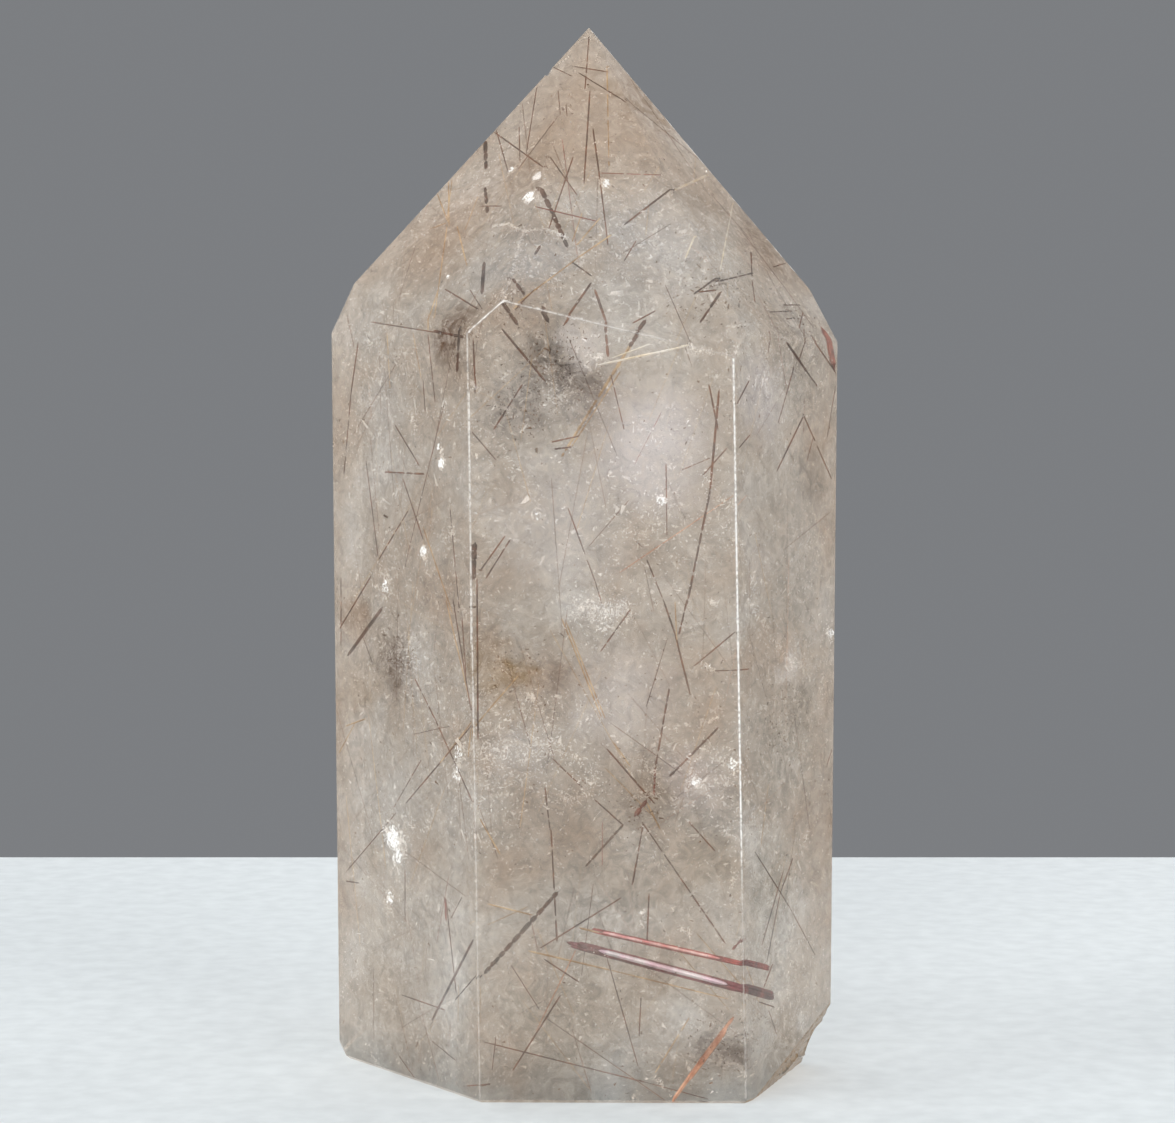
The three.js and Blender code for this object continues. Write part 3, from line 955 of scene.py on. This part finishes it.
def addDashed(bundle, rng, start, end, radius, dash):
    length = np.linalg.norm(end - start)
    at = 0.0
    while at < length:
        piece = min(dash * rng.uniform(*dashShape["length"]), length - at)
        if piece > 2 * radius:
            ends = [start + (end - start) * reach / length for reach in (at, at + piece)]
            addNeedle(bundle, *ends, radius * rng.uniform(*dashShape["width"]))
        at += piece + rng.uniform(*dashShape["gap"]) * dash


# Needles that stand out in the photograph: pixels of the two ends, depths in mm behind the facet there,
# thickness in mm, and the mean length of its pieces where it looks dashed, or 0.
brownNeedles = {
    "pointUpright": ((589, 37), (585, 89), 0.7, 1.2, 0.12, 1.6),
    "pointLong": ((590, 91), (584, 183), 1.0, 1.6, 0.16, 0),
    "pointSlant": ((579, 73), (633, 105), 0.8, 1.0, 0.14, 0),
    "pointSlantOn": ((633, 105), (704, 162), 1.0, 0.8, 0.11, 0),
    "pointLevel": ((577, 67), (609, 72), 0.8, 0.8, 0.13, 0),
    "pointShort": ((553, 67), (574, 76), 0.8, 0.8, 0.1, 0),
    "slopeSteep": ((537, 86), (526, 155), 1.2, 1.6, 0.12, 0),
    "slopeFaint": ((558, 91), (567, 116), 1.6, 1.8, 0.1, 0),
    "slopeBack": ((561, 116), (518, 169), 1.0, 1.6, 0.13, 0),
    "slopeFan": ((494, 132), (543, 167), 0.8, 1.2, 0.16, 0),
    "slopeFanSteep": ((496, 130), (508, 172), 0.8, 1.2, 0.13, 0),
    "slopeUpright": ((519, 127), (520, 162), 1.0, 1.2, 0.11, 0),
    "slopeCross": ((480, 206), (502, 206), 0.8, 0.8, 0.13, 0),
    "scissorLeft": ((550, 157), (577, 195), 1.2, 1.5, 0.14, 0),
    "scissorRight": ((573, 157), (549, 228), 1.5, 1.8, 0.14, 0),
    "ridgeSlant": ((591, 283), (564, 325), 1.4, 1.4, 0.22, 0),
    "ridgeCross": ((534, 290), (520, 304), 1.2, 1.2, 0.14, 0),
    "thickFork": ((655, 311), (633, 323), 1.2, 1.2, 0.16, 0),
    "whiteCross": ((675, 189), (624, 225), 1.2, 1.8, 0.2, 0),
    "paleShort": ((636, 241), (624, 261), 1.4, 1.4, 0.12, 0),
    "slopeRight": ((711, 194), (750, 239), 0.7, 0.7, 0.12, 0),
    "slopeRightOn": ((741, 230), (788, 292), 0.8, 0.8, 0.13, 0),
    "slopeRightEnd": ((788, 292), (813, 327), 0.8, 0.6, 0.13, 0),
    "rightDashed": ((751, 252), (752, 278), 1.0, 1.0, 0.2, 0.9),
    "rightDashedLow": ((752, 280), (755, 302), 1.0, 1.0, 0.15, 0.7),
    "rightShort": ((786, 263), (773, 267), 0.7, 0.7, 0.11, 0),
    "shoulderFine": ((803, 312), (799, 328), 0.8, 0.8, 0.13, 0),
    "shoulderFineLow": ((804, 329), (799, 360), 0.9, 1.0, 0.14, 0),
    "shoulderLong": ((811, 336), (837, 373), 0.8, 0.6, 0.2, 0),
    "shoulderUprightRight": ((769, 331), (768, 353), 1.0, 1.0, 0.15, 0),
    "sideDots": ((794, 367), (778, 424), 1.2, 1.4, 0.18, 0.5),
    "sideFine": ((836, 385), (827, 438), 0.6, 0.8, 0.11, 0),
    "tentLeft": ((804, 415), (777, 471), 0.9, 1.2, 0.2, 0),
    "tentRight": ((803, 414), (832, 480), 0.9, 0.8, 0.18, 3.0),
    "tentSmall": ((813, 438), (807, 461), 0.9, 0.9, 0.12, 0),
    "edgeShort": ((749, 381), (737, 404), 0.8, 0.8, 0.17, 0),
    "edgeShorter": ((750, 435), (739, 448), 0.8, 0.8, 0.15, 0),
    "tallBrown": ((719, 391), (710, 491), 1.4, 1.8, 0.22, 0),
    "tallBrownLow": ((710, 491), (687, 604), 1.8, 2.6, 0.2, 1.6),
    "tallBranch": ((727, 448), (703, 475), 1.6, 1.8, 0.14, 0),
    "tallSprig": ((710, 458), (682, 470), 1.8, 2.0, 0.11, 0.6),
    "tallFoot": ((687, 600), (679, 634), 2.6, 2.8, 0.16, 1.0),
    "crossDown": ((664, 602), (675, 634), 2.4, 2.6, 0.17, 0),
    "crossDownLow": ((675, 634), (690, 694), 2.6, 2.6, 0.18, 0),
    "crossUp": ((647, 560), (664, 602), 2.0, 2.4, 0.14, 1.4),
    "crossDashes": ((669, 689), (655, 769), 2.6, 3.0, 0.2, 1.5),
    "crossSide": ((735, 632), (694, 666), 1.2, 2.2, 0.14, 0),
    "crossLevel": ((749, 669), (714, 671), 0.8, 1.0, 0.13, 1.2),
    "beadChain": ((718, 728), (669, 777), 1.6, 2.0, 0.22, 0.5),
    "knotLong": ((607, 749), (654, 803), 2.4, 2.6, 0.18, 0),
    "knotDown": ((643, 824), (633, 883), 2.4, 2.8, 0.14, 1.2),
    "knotFine": ((552, 758), (582, 787), 2.2, 2.4, 0.14, 0),
    "knotFineOn": ((595, 800), (623, 825), 2.4, 2.6, 0.14, 0),
    "knotTrail": ((642, 822), (692, 895), 2.6, 2.2, 0.14, 1.6),
    "knotTrailLow": ((692, 895), (725, 943), 2.2, 1.8, 0.16, 0.9),
    "lowDark": ((689, 822), (715, 851), 2.0, 2.0, 0.15, 2.0),
    "middleFine": ((568, 508), (595, 581), 2.0, 2.2, 0.14, 3.0),
    "middleFineLow": ((595, 581), (602, 604), 2.2, 2.4, 0.1, 0),
    "middleShort": ((630, 610), (601, 651), 2.0, 2.0, 0.15, 1.6),
    "middleHair": ((666, 464), (667, 537), 1.8, 2.0, 0.1, 2.4),
    "middleTwig": ((552, 442), (579, 436), 1.4, 1.4, 0.16, 0.9),
    "middleTwigLow": ((555, 449), (571, 447), 1.4, 1.4, 0.16, 0.6),
    "smokeSteep": ((522, 385), (494, 429), 1.2, 1.4, 0.17, 1.4),
    "smokeLong": ((502, 329), (545, 381), 1.0, 1.4, 0.22, 0),
    "smokeFaint": ((611, 375), (624, 429), 1.6, 1.8, 0.12, 1.0),
    "seamBrown": ((477, 579), (478, 739), 0.7, 0.8, 0.16, 0),
    "seamShort": ((473, 340), (475, 393), 0.7, 0.7, 0.16, 0),
    "seamTwins": ((505, 536), (480, 571), 1.2, 1.0, 0.14, 0),
    "seamTwinsLow": ((510, 540), (486, 578), 1.4, 1.2, 0.14, 1.2),
    "seamFine": ((472, 432), (496, 460), 0.9, 1.1, 0.12, 0),
    "shoulderSlant": ((445, 289), (478, 309), 1.0, 1.0, 0.18, 0),
    "shoulderSteep": ((470, 290), (482, 309), 1.0, 1.0, 0.14, 0.8),
    "leftHigh": ((358, 343), (351, 393), 0.8, 0.9, 0.2, 0),
    "leftHighOn": ((351, 393), (344, 473), 0.9, 0.9, 0.16, 2.6),
    "leftCorner": ((347, 315), (354, 347), 0.7, 0.8, 0.11, 0),
    "leftLevel": ((385, 472), (424, 474), 1.0, 1.0, 0.18, 1.6),
    "leftSlant": ((395, 425), (419, 465), 1.0, 1.2, 0.17, 0),
    "leftDown": ((366, 461), (378, 556), 1.0, 1.4, 0.15, 0),
    "leftCross": ((408, 511), (379, 559), 1.0, 1.0, 0.16, 1.6),
    "leftCrossLow": ((371, 576), (340, 628), 1.0, 0.8, 0.17, 0),
    "leftFan": ((403, 479), (423, 539), 1.2, 1.4, 0.17, 0),
    "leftFanHair": ((444, 404), (416, 519), 1.4, 1.6, 0.1, 0),
    "leftFanHairLow": ((416, 519), (405, 567), 1.6, 1.6, 0.1, 1.0),
    "leftSpine": ((428, 335), (435, 402), 0.9, 1.0, 0.16, 1.8),
    "leftSpineLow": ((423, 380), (425, 411), 1.0, 1.0, 0.14, 0),
    "beadLine": ((450, 509), (459, 608), 1.0, 1.2, 0.14, 3.0),
    "fanOne": ((453, 600), (473, 710), 0.8, 0.7, 0.17, 0),
    "fanTwo": ((462, 618), (466, 676), 0.8, 0.8, 0.16, 0),
    "leftUpright": ((341, 578), (341, 645), 0.6, 0.6, 0.15, 2.4),
    "leftThickFine": ((362, 634), (372, 662), 1.0, 1.0, 0.12, 0),
    "leftLong": ((415, 679), (435, 719), 1.0, 1.0, 0.17, 1.6),
    "leftLongOn": ((435, 719), (475, 802), 1.0, 0.8, 0.18, 0),
    "leftReturn": ((471, 726), (406, 803), 0.9, 1.2, 0.16, 0),
    "leftReturnFine": ((421, 760), (394, 807), 1.2, 1.2, 0.12, 1.6),
    "leftReturnEnd": ((396, 813), (346, 872), 1.2, 1.0, 0.12, 0),
    "leftLowShort": ((346, 881), (359, 883), 0.7, 0.7, 0.12, 0),
    "leftLowUpright": ((405, 870), (405, 922), 1.2, 1.2, 0.13, 0),
    "lowBlade": ((446, 900), (456, 992), 1.4, 1.4, 0.18, 0),
    "lowCorner": ((462, 897), (451, 918), 1.0, 1.0, 0.12, 0),
    "lowSlant": ((402, 995), (445, 1010), 1.2, 1.2, 0.13, 0),
    "lowSlantOther": ((432, 1041), (455, 1060), 1.0, 1.0, 0.14, 0),
    "lowUpright": ((551, 830), (557, 941), 1.8, 1.8, 0.17, 2.6),
    "lowUprightHigh": ((545, 788), (550, 830), 1.8, 1.8, 0.13, 1.2),
    "rodFan": ((621, 898), (539, 949), 1.6, 1.6, 0.15, 0),
    "rodCross": ((649, 894), (647, 942), 1.4, 1.4, 0.15, 0),
    "rodCrossHigh": ((636, 863), (632, 885), 1.6, 1.6, 0.13, 0),
    "rodUnder": ((544, 959), (579, 982), 1.4, 1.4, 0.14, 0),
    "footSlant": ((560, 996), (513, 1070), 1.2, 1.2, 0.16, 0),
    "footHair": ((511, 965), (539, 1009), 1.4, 1.4, 0.1, 0),
    "footLong": ((484, 1042), (648, 1083), 1.0, 1.4, 0.13, 0),
    "footLongEnd": ((648, 1083), (708, 1099), 1.4, 1.0, 0.1, 0),
    "footCrossHair": ((607, 958), (638, 1066), 1.6, 1.4, 0.11, 0),
    "footUpright": ((641, 997), (639, 1036), 1.2, 1.2, 0.12, 0),
    "footEdge": ((467, 1086), (490, 1084), 0.5, 0.5, 0.16, 0.9),
    "footLeft": ((496, 1037), (492, 1070), 1.0, 1.0, 0.1, 0),
    "footCorner": ((399, 1056), (414, 1077), 0.8, 0.8, 0.14, 0),
    "cornerFan": ((755, 852), (790, 908), 1.0, 1.0, 0.14, 0),
    "cornerFanOn": ((790, 908), (815, 955), 1.0, 1.0, 0.11, 0),
    "cornerFanTwo": ((783, 872), (762, 945), 1.0, 1.0, 0.15, 0),
    "cornerFanThree": ((780, 894), (767, 962), 1.2, 1.2, 0.16, 0),
    "cornerFanFour": ((793, 858), (780, 894), 1.0, 1.0, 0.13, 0),
    "cornerShortOne": ((773, 963), (764, 987), 0.8, 0.8, 0.16, 0),
    "cornerShortTwo": ((759, 1002), (774, 1007), 0.8, 0.8, 0.14, 0),
    "cornerShortThree": ((769, 1011), (777, 1035), 0.8, 0.8, 0.1, 0),
    "sideEnd": ((833, 749), (826, 768), 0.5, 0.6, 0.13, 0),
    "pointLean": ((593, 129), (600, 180), 0.8, 1.0, 0.17, 0),
    "pointLeanLow": ((600, 180), (608, 245), 1.0, 1.3, 0.13, 0),
    "tallSlant": ((709, 385), (718, 429), 1.4, 1.6, 0.17, 0),
    "leftLongHigh": ((371, 322), (440, 333), 0.9, 0.9, 0.12, 0),
    "leftThickHigh": ((434, 331), (463, 337), 0.9, 0.9, 0.26, 1.2),
    "ridgeSteep": ((595, 290), (606, 322), 1.4, 1.2, 0.26, 0),
    "ridgeSteepLow": ((606, 322), (608, 356), 1.2, 1.0, 0.24, 1.2),
    "sprigLevel": ((699, 292), (716, 290), 1.0, 1.0, 0.18, 0),
}
darkNeedles = {
    "slopeRod": ((484, 141), (486, 172), 1.0, 1.0, 0.46, 1.4),
    "slopeRodMiddle": ((485, 188), (488, 219), 1.0, 1.0, 0.38, 0.7),
    "slopeRodLow": ((484, 263), (482, 293), 1.0, 1.0, 0.42, 0),
    "thickBroken": ((541, 189), (553, 214), 1.2, 1.4, 0.46, 0.8),
    "thickBrokenLow": ((553, 214), (569, 251), 1.4, 1.6, 0.46, 0.8),
    "thickBrokenEnd": ((572, 262), (592, 276), 1.6, 2.0, 0.2, 0.9),
    "cornerDark": ((508, 278), (524, 294), 1.2, 1.2, 0.34, 0.7),
    "cornerDarkLow": ((503, 303), (518, 325), 1.0, 1.2, 0.4, 0.8),
    "cornerDot": ((542, 310), (548, 321), 1.2, 1.2, 0.42, 0),
    "cornerShort": ((540, 246), (535, 254), 1.2, 1.2, 0.26, 0),
    "thickFade": ((645, 321), (630, 346), 1.2, 1.5, 0.38, 1.2),
    "rightSprig": ((753, 273), (720, 281), 1.0, 1.2, 0.17, 1.4),
    "rightSprigOn": ((720, 278), (694, 294), 1.2, 1.4, 0.2, 0.9),
    "rightSprigLow": ((720, 293), (699, 324), 1.2, 1.4, 0.24, 1.6),
    "rightTwigs": ((800, 305), (783, 305), 0.8, 0.8, 0.14, 0.6),
    "rightTwigsLow": ((792, 311), (770, 312), 0.9, 0.9, 0.16, 0.6),
    "rightTwigsEnd": ((795, 318), (786, 319), 0.9, 0.9, 0.16, 0),
    "shoulderThick": ((787, 343), (807, 372), 0.9, 1.0, 0.32, 0),
    "shoulderThickEnd": ((807, 372), (817, 386), 1.0, 1.1, 0.2, 0.5),
    "knotBeads": ((623, 825), (586, 866), 2.6, 2.8, 0.22, 0.6),
    "seamDark": ((475, 544), (474, 578), 0.8, 0.8, 0.42, 0.6),
    "shoulderUpright": ((459, 330), (457, 371), 0.9, 0.9, 0.32, 1.2),
    "leftThick": ((382, 608), (348, 655), 0.8, 0.8, 0.42, 0),
    "lowThick": ((473, 940), (432, 1020), 1.0, 1.0, 0.3, 0),
    "boldDashes": ((557, 893), (484, 974), 1.8, 1.6, 0.42, 0.9),
    "boldDashesEnd": ((482, 975), (455, 1000), 1.2, 1.2, 0.14, 0.8),
}
redNeedles = {
    "shoulderRed": ((823, 330), (834, 366), 0.9, 0.7, 0.95, 0),
    "knotRed": ((646, 801), (634, 817), 2.2, 2.2, 0.42, 0.8),
    "knotRedDashes": ((655, 769), (654, 795), 2.4, 2.4, 0.24, 0.6),
    "levelRed": ((532, 206), (596, 221), 1.0, 1.2, 0.14, 0),
    "pointRed": ((601, 173), (663, 175), 0.9, 0.9, 0.11, 1.4),
    "lowRed": ((445, 898), (446, 920), 1.2, 1.2, 0.24, 0),
    "crossRedShort": ((742, 939), (733, 949), 0.8, 0.8, 0.24, 0.6),
}
orangeNeedles = {
    "footOrange": ((733, 1018), (698, 1064), 1.4, 1.0, 0.34, 0),
    "footOrangeThick": ((725, 1031), (688, 1080), 1.1, 0.8, 0.56, 0),
    "footOrangeLow": ((700, 1062), (673, 1102), 0.9, 0.5, 0.36, 0),
}
goldenNeedles = {
    "thickFadeOn": ((630, 346), (604, 388), 1.6, 2.0, 0.3, 0.6),
    "thickFadeLow": ((604, 388), (562, 456), 2.0, 2.2, 0.26, 0.4),
    "thickFadeTwin": ((620, 372), (572, 446), 2.0, 2.2, 0.14, 0.5),
    "pointPale": ((607, 66), (609, 166), 0.8, 1.0, 0.11, 2.4),
    "ridgeGolden": ((611, 235), (579, 257), 1.2, 1.2, 0.15, 0),
    "ridgeGoldenLong": ((579, 257), (513, 309), 1.2, 1.0, 0.13, 0),
    "tipHair": ((600, 218), (576, 246), 1.4, 1.4, 0.12, 0),
    "tipHairTwo": ((582, 213), (572, 242), 1.4, 1.4, 0.1, 0),
    "slopeFanOne": ((437, 194), (448, 222), 0.8, 0.8, 0.12, 0),
    "slopeFanTwo": ((447, 181), (449, 226), 0.8, 0.8, 0.12, 0),
    "slopeFanThree": ((452, 180), (447, 219), 0.8, 0.8, 0.1, 0),
    "slopeFanLong": ((447, 226), (433, 320), 0.9, 1.0, 0.12, 0),
    "slopeFanLow": ((457, 226), (467, 266), 0.9, 0.9, 0.13, 0),
    "slopeLevel": ((430, 229), (446, 223), 0.7, 0.8, 0.12, 0),
    "slopeFaintGold": ((479, 194), (465, 230), 0.9, 0.9, 0.1, 0),
    "shoulderGold": ((438, 290), (428, 330), 0.8, 0.8, 0.16, 0),
    "leftHairHigh": ((387, 333), (390, 388), 1.0, 1.0, 0.12, 2.0),
    "leftHairMiddle": ((413, 333), (421, 378), 1.0, 1.0, 0.11, 0),
    "leftFanGold": ((423, 527), (452, 612), 0.8, 0.8, 0.17, 0),
    "leftFanGoldLow": ((446, 600), (470, 703), 0.8, 0.7, 0.17, 0),
    "fanGoldCross": ((471, 728), (468, 758), 0.8, 0.8, 0.14, 0),
    "stainGold": ((518, 676), (486, 713), 1.0, 0.9, 0.13, 0),
    "stainBack": ((486, 713), (440, 763), 0.9, 0.9, 0.14, 0),
    "middleGold": ((562, 619), (601, 716), 2.0, 2.4, 0.15, 0),
    "middleGoldTwin": ((566, 622), (605, 718), 2.0, 2.4, 0.13, 0),
    "middleGoldOn": ((614, 743), (630, 766), 2.4, 2.6, 0.13, 0),
    "crossGold": ((675, 602), (677, 646), 2.4, 2.6, 0.11, 0),
    "knotGold": ((647, 803), (660, 829), 2.4, 2.4, 0.14, 0),
    "lowGold": ((529, 951), (610, 970), 1.6, 1.6, 0.17, 0),
    "lowGoldOn": ((610, 970), (728, 999), 1.6, 1.2, 0.12, 0),
    "cornerGold": ((488, 904), (532, 915), 0.9, 1.0, 0.13, 0),
    "rodGold": ((580, 928), (600, 933), 1.8, 1.8, 0.2, 0),
    "leftShortGold": ((346, 726), (365, 719), 0.7, 0.7, 0.13, 0),
    "leftShortFaint": ((355, 723), (339, 753), 0.7, 0.6, 0.11, 0),
    "footGold": ((689, 1018), (655, 1073), 1.2, 1.2, 0.11, 2.0),
    "lowFaintGold": ((480, 819), (500, 854), 0.9, 1.0, 0.13, 0),
}
paleNeedles = {
    "slopeWhite": ((708, 175), (675, 190), 0.4, 0.5, 0.24, 0),
    "slopePale": ((733, 203), (720, 271), 0.7, 0.9, 0.16, 0),
    "slopePaleShort": ((697, 236), (685, 259), 0.7, 0.8, 0.15, 0),
    "frontPale": ((598, 365), (688, 344), 0.7, 0.7, 0.2, 0),
    "frontPaleTwin": ((612, 358), (650, 344), 0.8, 0.8, 0.12, 0),
}

needleLook = {
    "dark": {0.4: "#2b0f02", 0.6: "#5a2f12"},
    "brown": {0.4: "#421d07", 0.6: "#7c451c"},
    "red": {0.4: "#722a1a", 0.6: "#a2503a"},
    "orange": {0.4: "#c27c55", 0.6: "#efb694"},
    "golden": {0.4: "#a98450", 0.6: "#dfc498"},
    "pale": {0.4: "#f3e6cc", 0.6: "#fffdf8"},
    "shadeSize": 1.4,
    "roughness": 0.42,
    "highlightMetallic": 0.35,    # metallic of the painted highlight strip along a thick rod, for a submetallic lustre
    "randomCounts": {"dark": 0, "brown": 110, "red": 16, "orange": 6, "golden": 64, "pale": 0},
    "randomLength": (3, 16),
    "randomThickness": (0.05, 0.1),
    "randomDepth": 0.8,       # mm, their middles lie at least this deep
    "randomMargin": 0.3,
    "steepShare": 0.6,        # most stand steep in the crystal, some lie across it
    "steepLean": (4, 32),     # degrees
    "crossLean": (32, 80),
    "seed": 23,
}


# Rutile, grown as needles: brown, red and golden, with the bright lustre of its very high IOR.
def grownRutile(name, steps, metallic=0.0):
    material, tree = newMaterial(name + "Rutile")
    place = addNode(tree, "ShaderNodeTexCoord").outputs["Object"]
    shade = addNode(tree, "ShaderNodeTexNoise", {
        "Scale": grainScale(needleLook["shadeSize"]), "Detail": 2.0,
    }, {"Vector": place})
    shader = addNode(tree, "ShaderNodeBsdfPrincipled", {
        "IOR": rutileIor, "Roughness": needleLook["roughness"], "Metallic": metallic,
    }, {"Base Color": colourSteps(tree, shade.outputs["Fac"], steps)})
    addNode(tree, "ShaderNodeOutputMaterial", {}, {"Surface": shader.outputs[0]})
    return material


def anyDirection(rng):
    steep = rng.random() < needleLook["steepShare"]
    lean = math.radians(rng.uniform(*needleLook["steepLean" if steep else "crossLean"]))
    turn = rng.uniform(0, 2 * math.pi)
    return np.array((math.sin(lean) * math.cos(turn), math.sin(lean) * math.sin(turn), math.cos(lean)))


def buildNeedles():
    look = needleLook
    rng = np.random.default_rng(look["seed"])
    known = {
        "dark": darkNeedles, "brown": brownNeedles, "red": redNeedles, "orange": orangeNeedles,
        "golden": goldenNeedles, "pale": paleNeedles,
    }
    for colour, seen in known.items():
        bundle = {"places": [], "corners": []}
        for start, end, startDepth, endDepth, thickness, dash in seen.values():
            line = seenAt(start, startDepth), seenAt(end, endDepth)
            if dash:
                addDashed(bundle, rng, *line, thickness / 2, dash)
            else:
                addNeedle(bundle, *line, thickness / 2)
        count = look["randomCounts"][colour]
        for middle in scatter(rng, count, None, look["randomDepth"]):
            half = anyDirection(rng) * rng.uniform(*look["randomLength"]) / 2
            radius = rng.uniform(*look["randomThickness"]) / 2
            line = [pushInside(middle + way, look["randomMargin"]) for way in (-half, half)]
            addNeedle(bundle, *line, radius)
        name = colour + "Needles"
        makePiece(name, bundle["places"], bundle["corners"], grownRutile(name, look[colour]))


buildNeedles()

# Two thick rods low on the right, each a tight bundle of fibres with a painted highlight, a pale strip on the
# side that faces the camera, and a darker end behind the next facet: pixels of the ends, depths, thickness
# and how unevenly the fibres end in mm, and where along the rod the painted highlight lies.
thickRods = {
    "redRod": {
        "start": ((592, 930), 1.8), "end": ((743, 964), 0.5), "thickness": 0.5, "ragged": (2.0, 0.1),
        "colour": {0.4: "#7c1d18", 0.6: "#b3433a"},
        "paintedHighlight": {0.4: "#f79ba0", 0.6: "#ffd8dc"}, "highlightWidth": 0.26, "highlightFrom": 0.08, "highlightTo": 0.84,
    },
    "redRodEnd": {
        "start": ((744, 962), 0.4), "end": ((769, 968), 0.7), "thickness": 0.6, "ragged": (0.1, 0.5),
        "colour": {0.4: "#6c150d", 0.6: "#a43a2b"},
    },
    "purpleRod": {
        "start": ((566, 942), 2.2), "end": ((743, 989), 0.6), "thickness": 0.86, "ragged": (3.2, 0.1),
        "colour": {0.4: "#56061a", 0.6: "#861f38"},
        "paintedHighlight": {0.4: "#f2d4f0", 0.6: "#f4f2ff"}, "highlightWidth": 0.48, "highlightFrom": 0.2, "highlightTo": 0.9,
    },
    "purpleRodEnd": {
        "start": ((744.5, 988), 0.5), "end": ((773, 996), 0.8), "thickness": 0.92, "ragged": (0.1, 0.5),
        "colour": {0.4: "#52100c", 0.6: "#8a3028"},
    },
}
rodShape = {
    "fibres": 11,
    "core": 0.75,             # shares of the rod's own radius: the fibre in the middle, those around it
    "fibre": (0.34, 0.44),
    "ring": 0.62,             # and how far out they lie
    "sides": 6,
    "highlightSides": 8,
    "seed": 5,
}


def buildRods():
    look = rodShape
    rng = np.random.default_rng(look["seed"])
    for name, rod in thickRods.items():
        bundle = {"places": [], "corners": []}
        start, end = seenAt(*rod["start"]), seenAt(*rod["end"])
        radius = rod["thickness"] / 2
        along, side, up = frameAlong(start, end)
        for n in range(look["fibres"]):
            turn = 2 * math.pi * n / look["fibres"]
            out = (side * math.cos(turn) + up * math.sin(turn)) * radius * (look["ring"] if n else 0)
            early, late = rng.uniform(0, 1, 2) * rod["ragged"]
            thickness = radius * (rng.uniform(*look["fibre"]) if n else look["core"])
            line = start + out + along * early, end + out - along * late
            addNeedle(bundle, *line, thickness, look["sides"])
        makePiece(name, bundle["places"], bundle["corners"], grownRutile(name, rod["colour"]))
        if "paintedHighlight" not in rod:
            continue
        # painted highlight: a pale strip laid along the side of the rod that faces the camera
        toEye = np.array(cameraSetup["place"]) - (start + end) / 2
        toEye = toEye - along * (toEye @ along)
        shift = toEye / np.linalg.norm(toEye) * radius
        paintedHighlight = {"places": [], "corners": []}
        line = [start + (end - start) * share + shift for share in (rod["highlightFrom"], rod["highlightTo"])]
        addNeedle(paintedHighlight, *line, rod["highlightWidth"] / 2, look["highlightSides"])
        name = name + "PaintedHighlight"
        highlightMaterial = grownRutile(name, rod["paintedHighlight"], needleLook["highlightMetallic"])
        makePiece(name, paintedHighlight["places"], paintedHighlight["corners"], highlightMaterial)


buildRods()

floorLook = {
    "colour": {0.3: "#d9dfe1", 0.7: "#e3e9eb"},
    "grainSize": 2.5,
    "roughness": 0.75,
    "half": 116,       # mm
    "thick": 12,
    "edgeRound": 1.5,
    "edgeSteps": 3,
}


# Planed board under matt paint: pale and even, with a soft shadow and no shine of its own.
def buildFloor():
    look = floorLook
    material, tree = newMaterial("paleMattBoard")
    place = addNode(tree, "ShaderNodeTexCoord").outputs["Object"]
    grain = addNode(tree, "ShaderNodeTexNoise", {"Scale": grainScale(look["grainSize"])}, {"Vector": place})
    shader = addNode(tree, "ShaderNodeBsdfPrincipled", {"Roughness": look["roughness"]}, {
        "Base Color": colourSteps(tree, grain.outputs["Fac"], look["colour"]),
    })
    addNode(tree, "ShaderNodeOutputMaterial", {}, {"Surface": shader.outputs[0]})
    shape = bmesh.new()
    bmesh.ops.create_cube(shape, size=1)
    size = Vector((2 * look["half"], 2 * look["half"], look["thick"])) * mm
    bmesh.ops.scale(shape, verts=shape.verts, vec=size)
    bmesh.ops.bevel(
        shape, geom=shape.edges, offset=look["edgeRound"] * mm, segments=look["edgeSteps"], affect="EDGES"
    )
    bmesh.ops.translate(shape, verts=shape.verts, vec=(0, 0, -look["thick"] * mm / 2))
    mesh = bpy.data.meshes.new("floor")
    shape.to_mesh(mesh)
    shape.free()
    mesh.materials.append(material)
    floor = bpy.data.objects.new("floor", mesh)
    bpy.context.scene.collection.objects.link(floor)


buildFloor()

studioLook = {
    "world": "#77797c",
    "worldStrength": 1.1,
    "softboxes": 6,          # in an even ring, low enough to leave no glare on the facets
    "ringRadius": 700,       # mm
    "ringHeight": 300,
    "boxSize": 400,
    "firstTurn": -15,        # degrees, the first box stands nearly in front, a little to the left
    "watts": (3.2, 2.0, 1.6, 1.6, 1.9, 2.7),
    "aim": (0, 0, 45),
}


def buildStudio():
    look = studioLook
    world = bpy.data.worlds.new("softStudio")
    world.use_nodes = True
    background = world.node_tree.nodes["Background"]
    background.inputs["Color"].default_value = fromHex(look["world"])
    background.inputs["Strength"].default_value = look["worldStrength"]
    bpy.context.scene.world = world
    for n, watts in enumerate(look["watts"]):
        turn = math.radians(look["firstTurn"] + 360 * n / look["softboxes"])
        light = bpy.data.lights.new("softbox", "AREA")
        light.shape = "SQUARE"
        light.size = look["boxSize"] * mm
        light.energy = watts
        lamp = bpy.data.objects.new("softbox", light)
        lamp.visible_transmission = False   # no lamp glares through the thin tip
        lamp.location = Vector((math.sin(turn), -math.cos(turn), 0)) * look["ringRadius"] * mm
        lamp.location.z = look["ringHeight"] * mm
        aim = Vector(look["aim"]) * mm - lamp.location
        lamp.rotation_euler = aim.to_track_quat("-Z", "Y").to_euler()
        bpy.context.scene.collection.objects.link(lamp)
    bpy.context.scene.view_settings.view_transform = "Standard"
    cycles = bpy.context.scene.cycles
    cycles.volume_bounces = 2         # light wanders on in the haze
    cycles.max_bounces = 8
    cycles.transmission_bounces = 8


buildStudio()
print("studio lit")
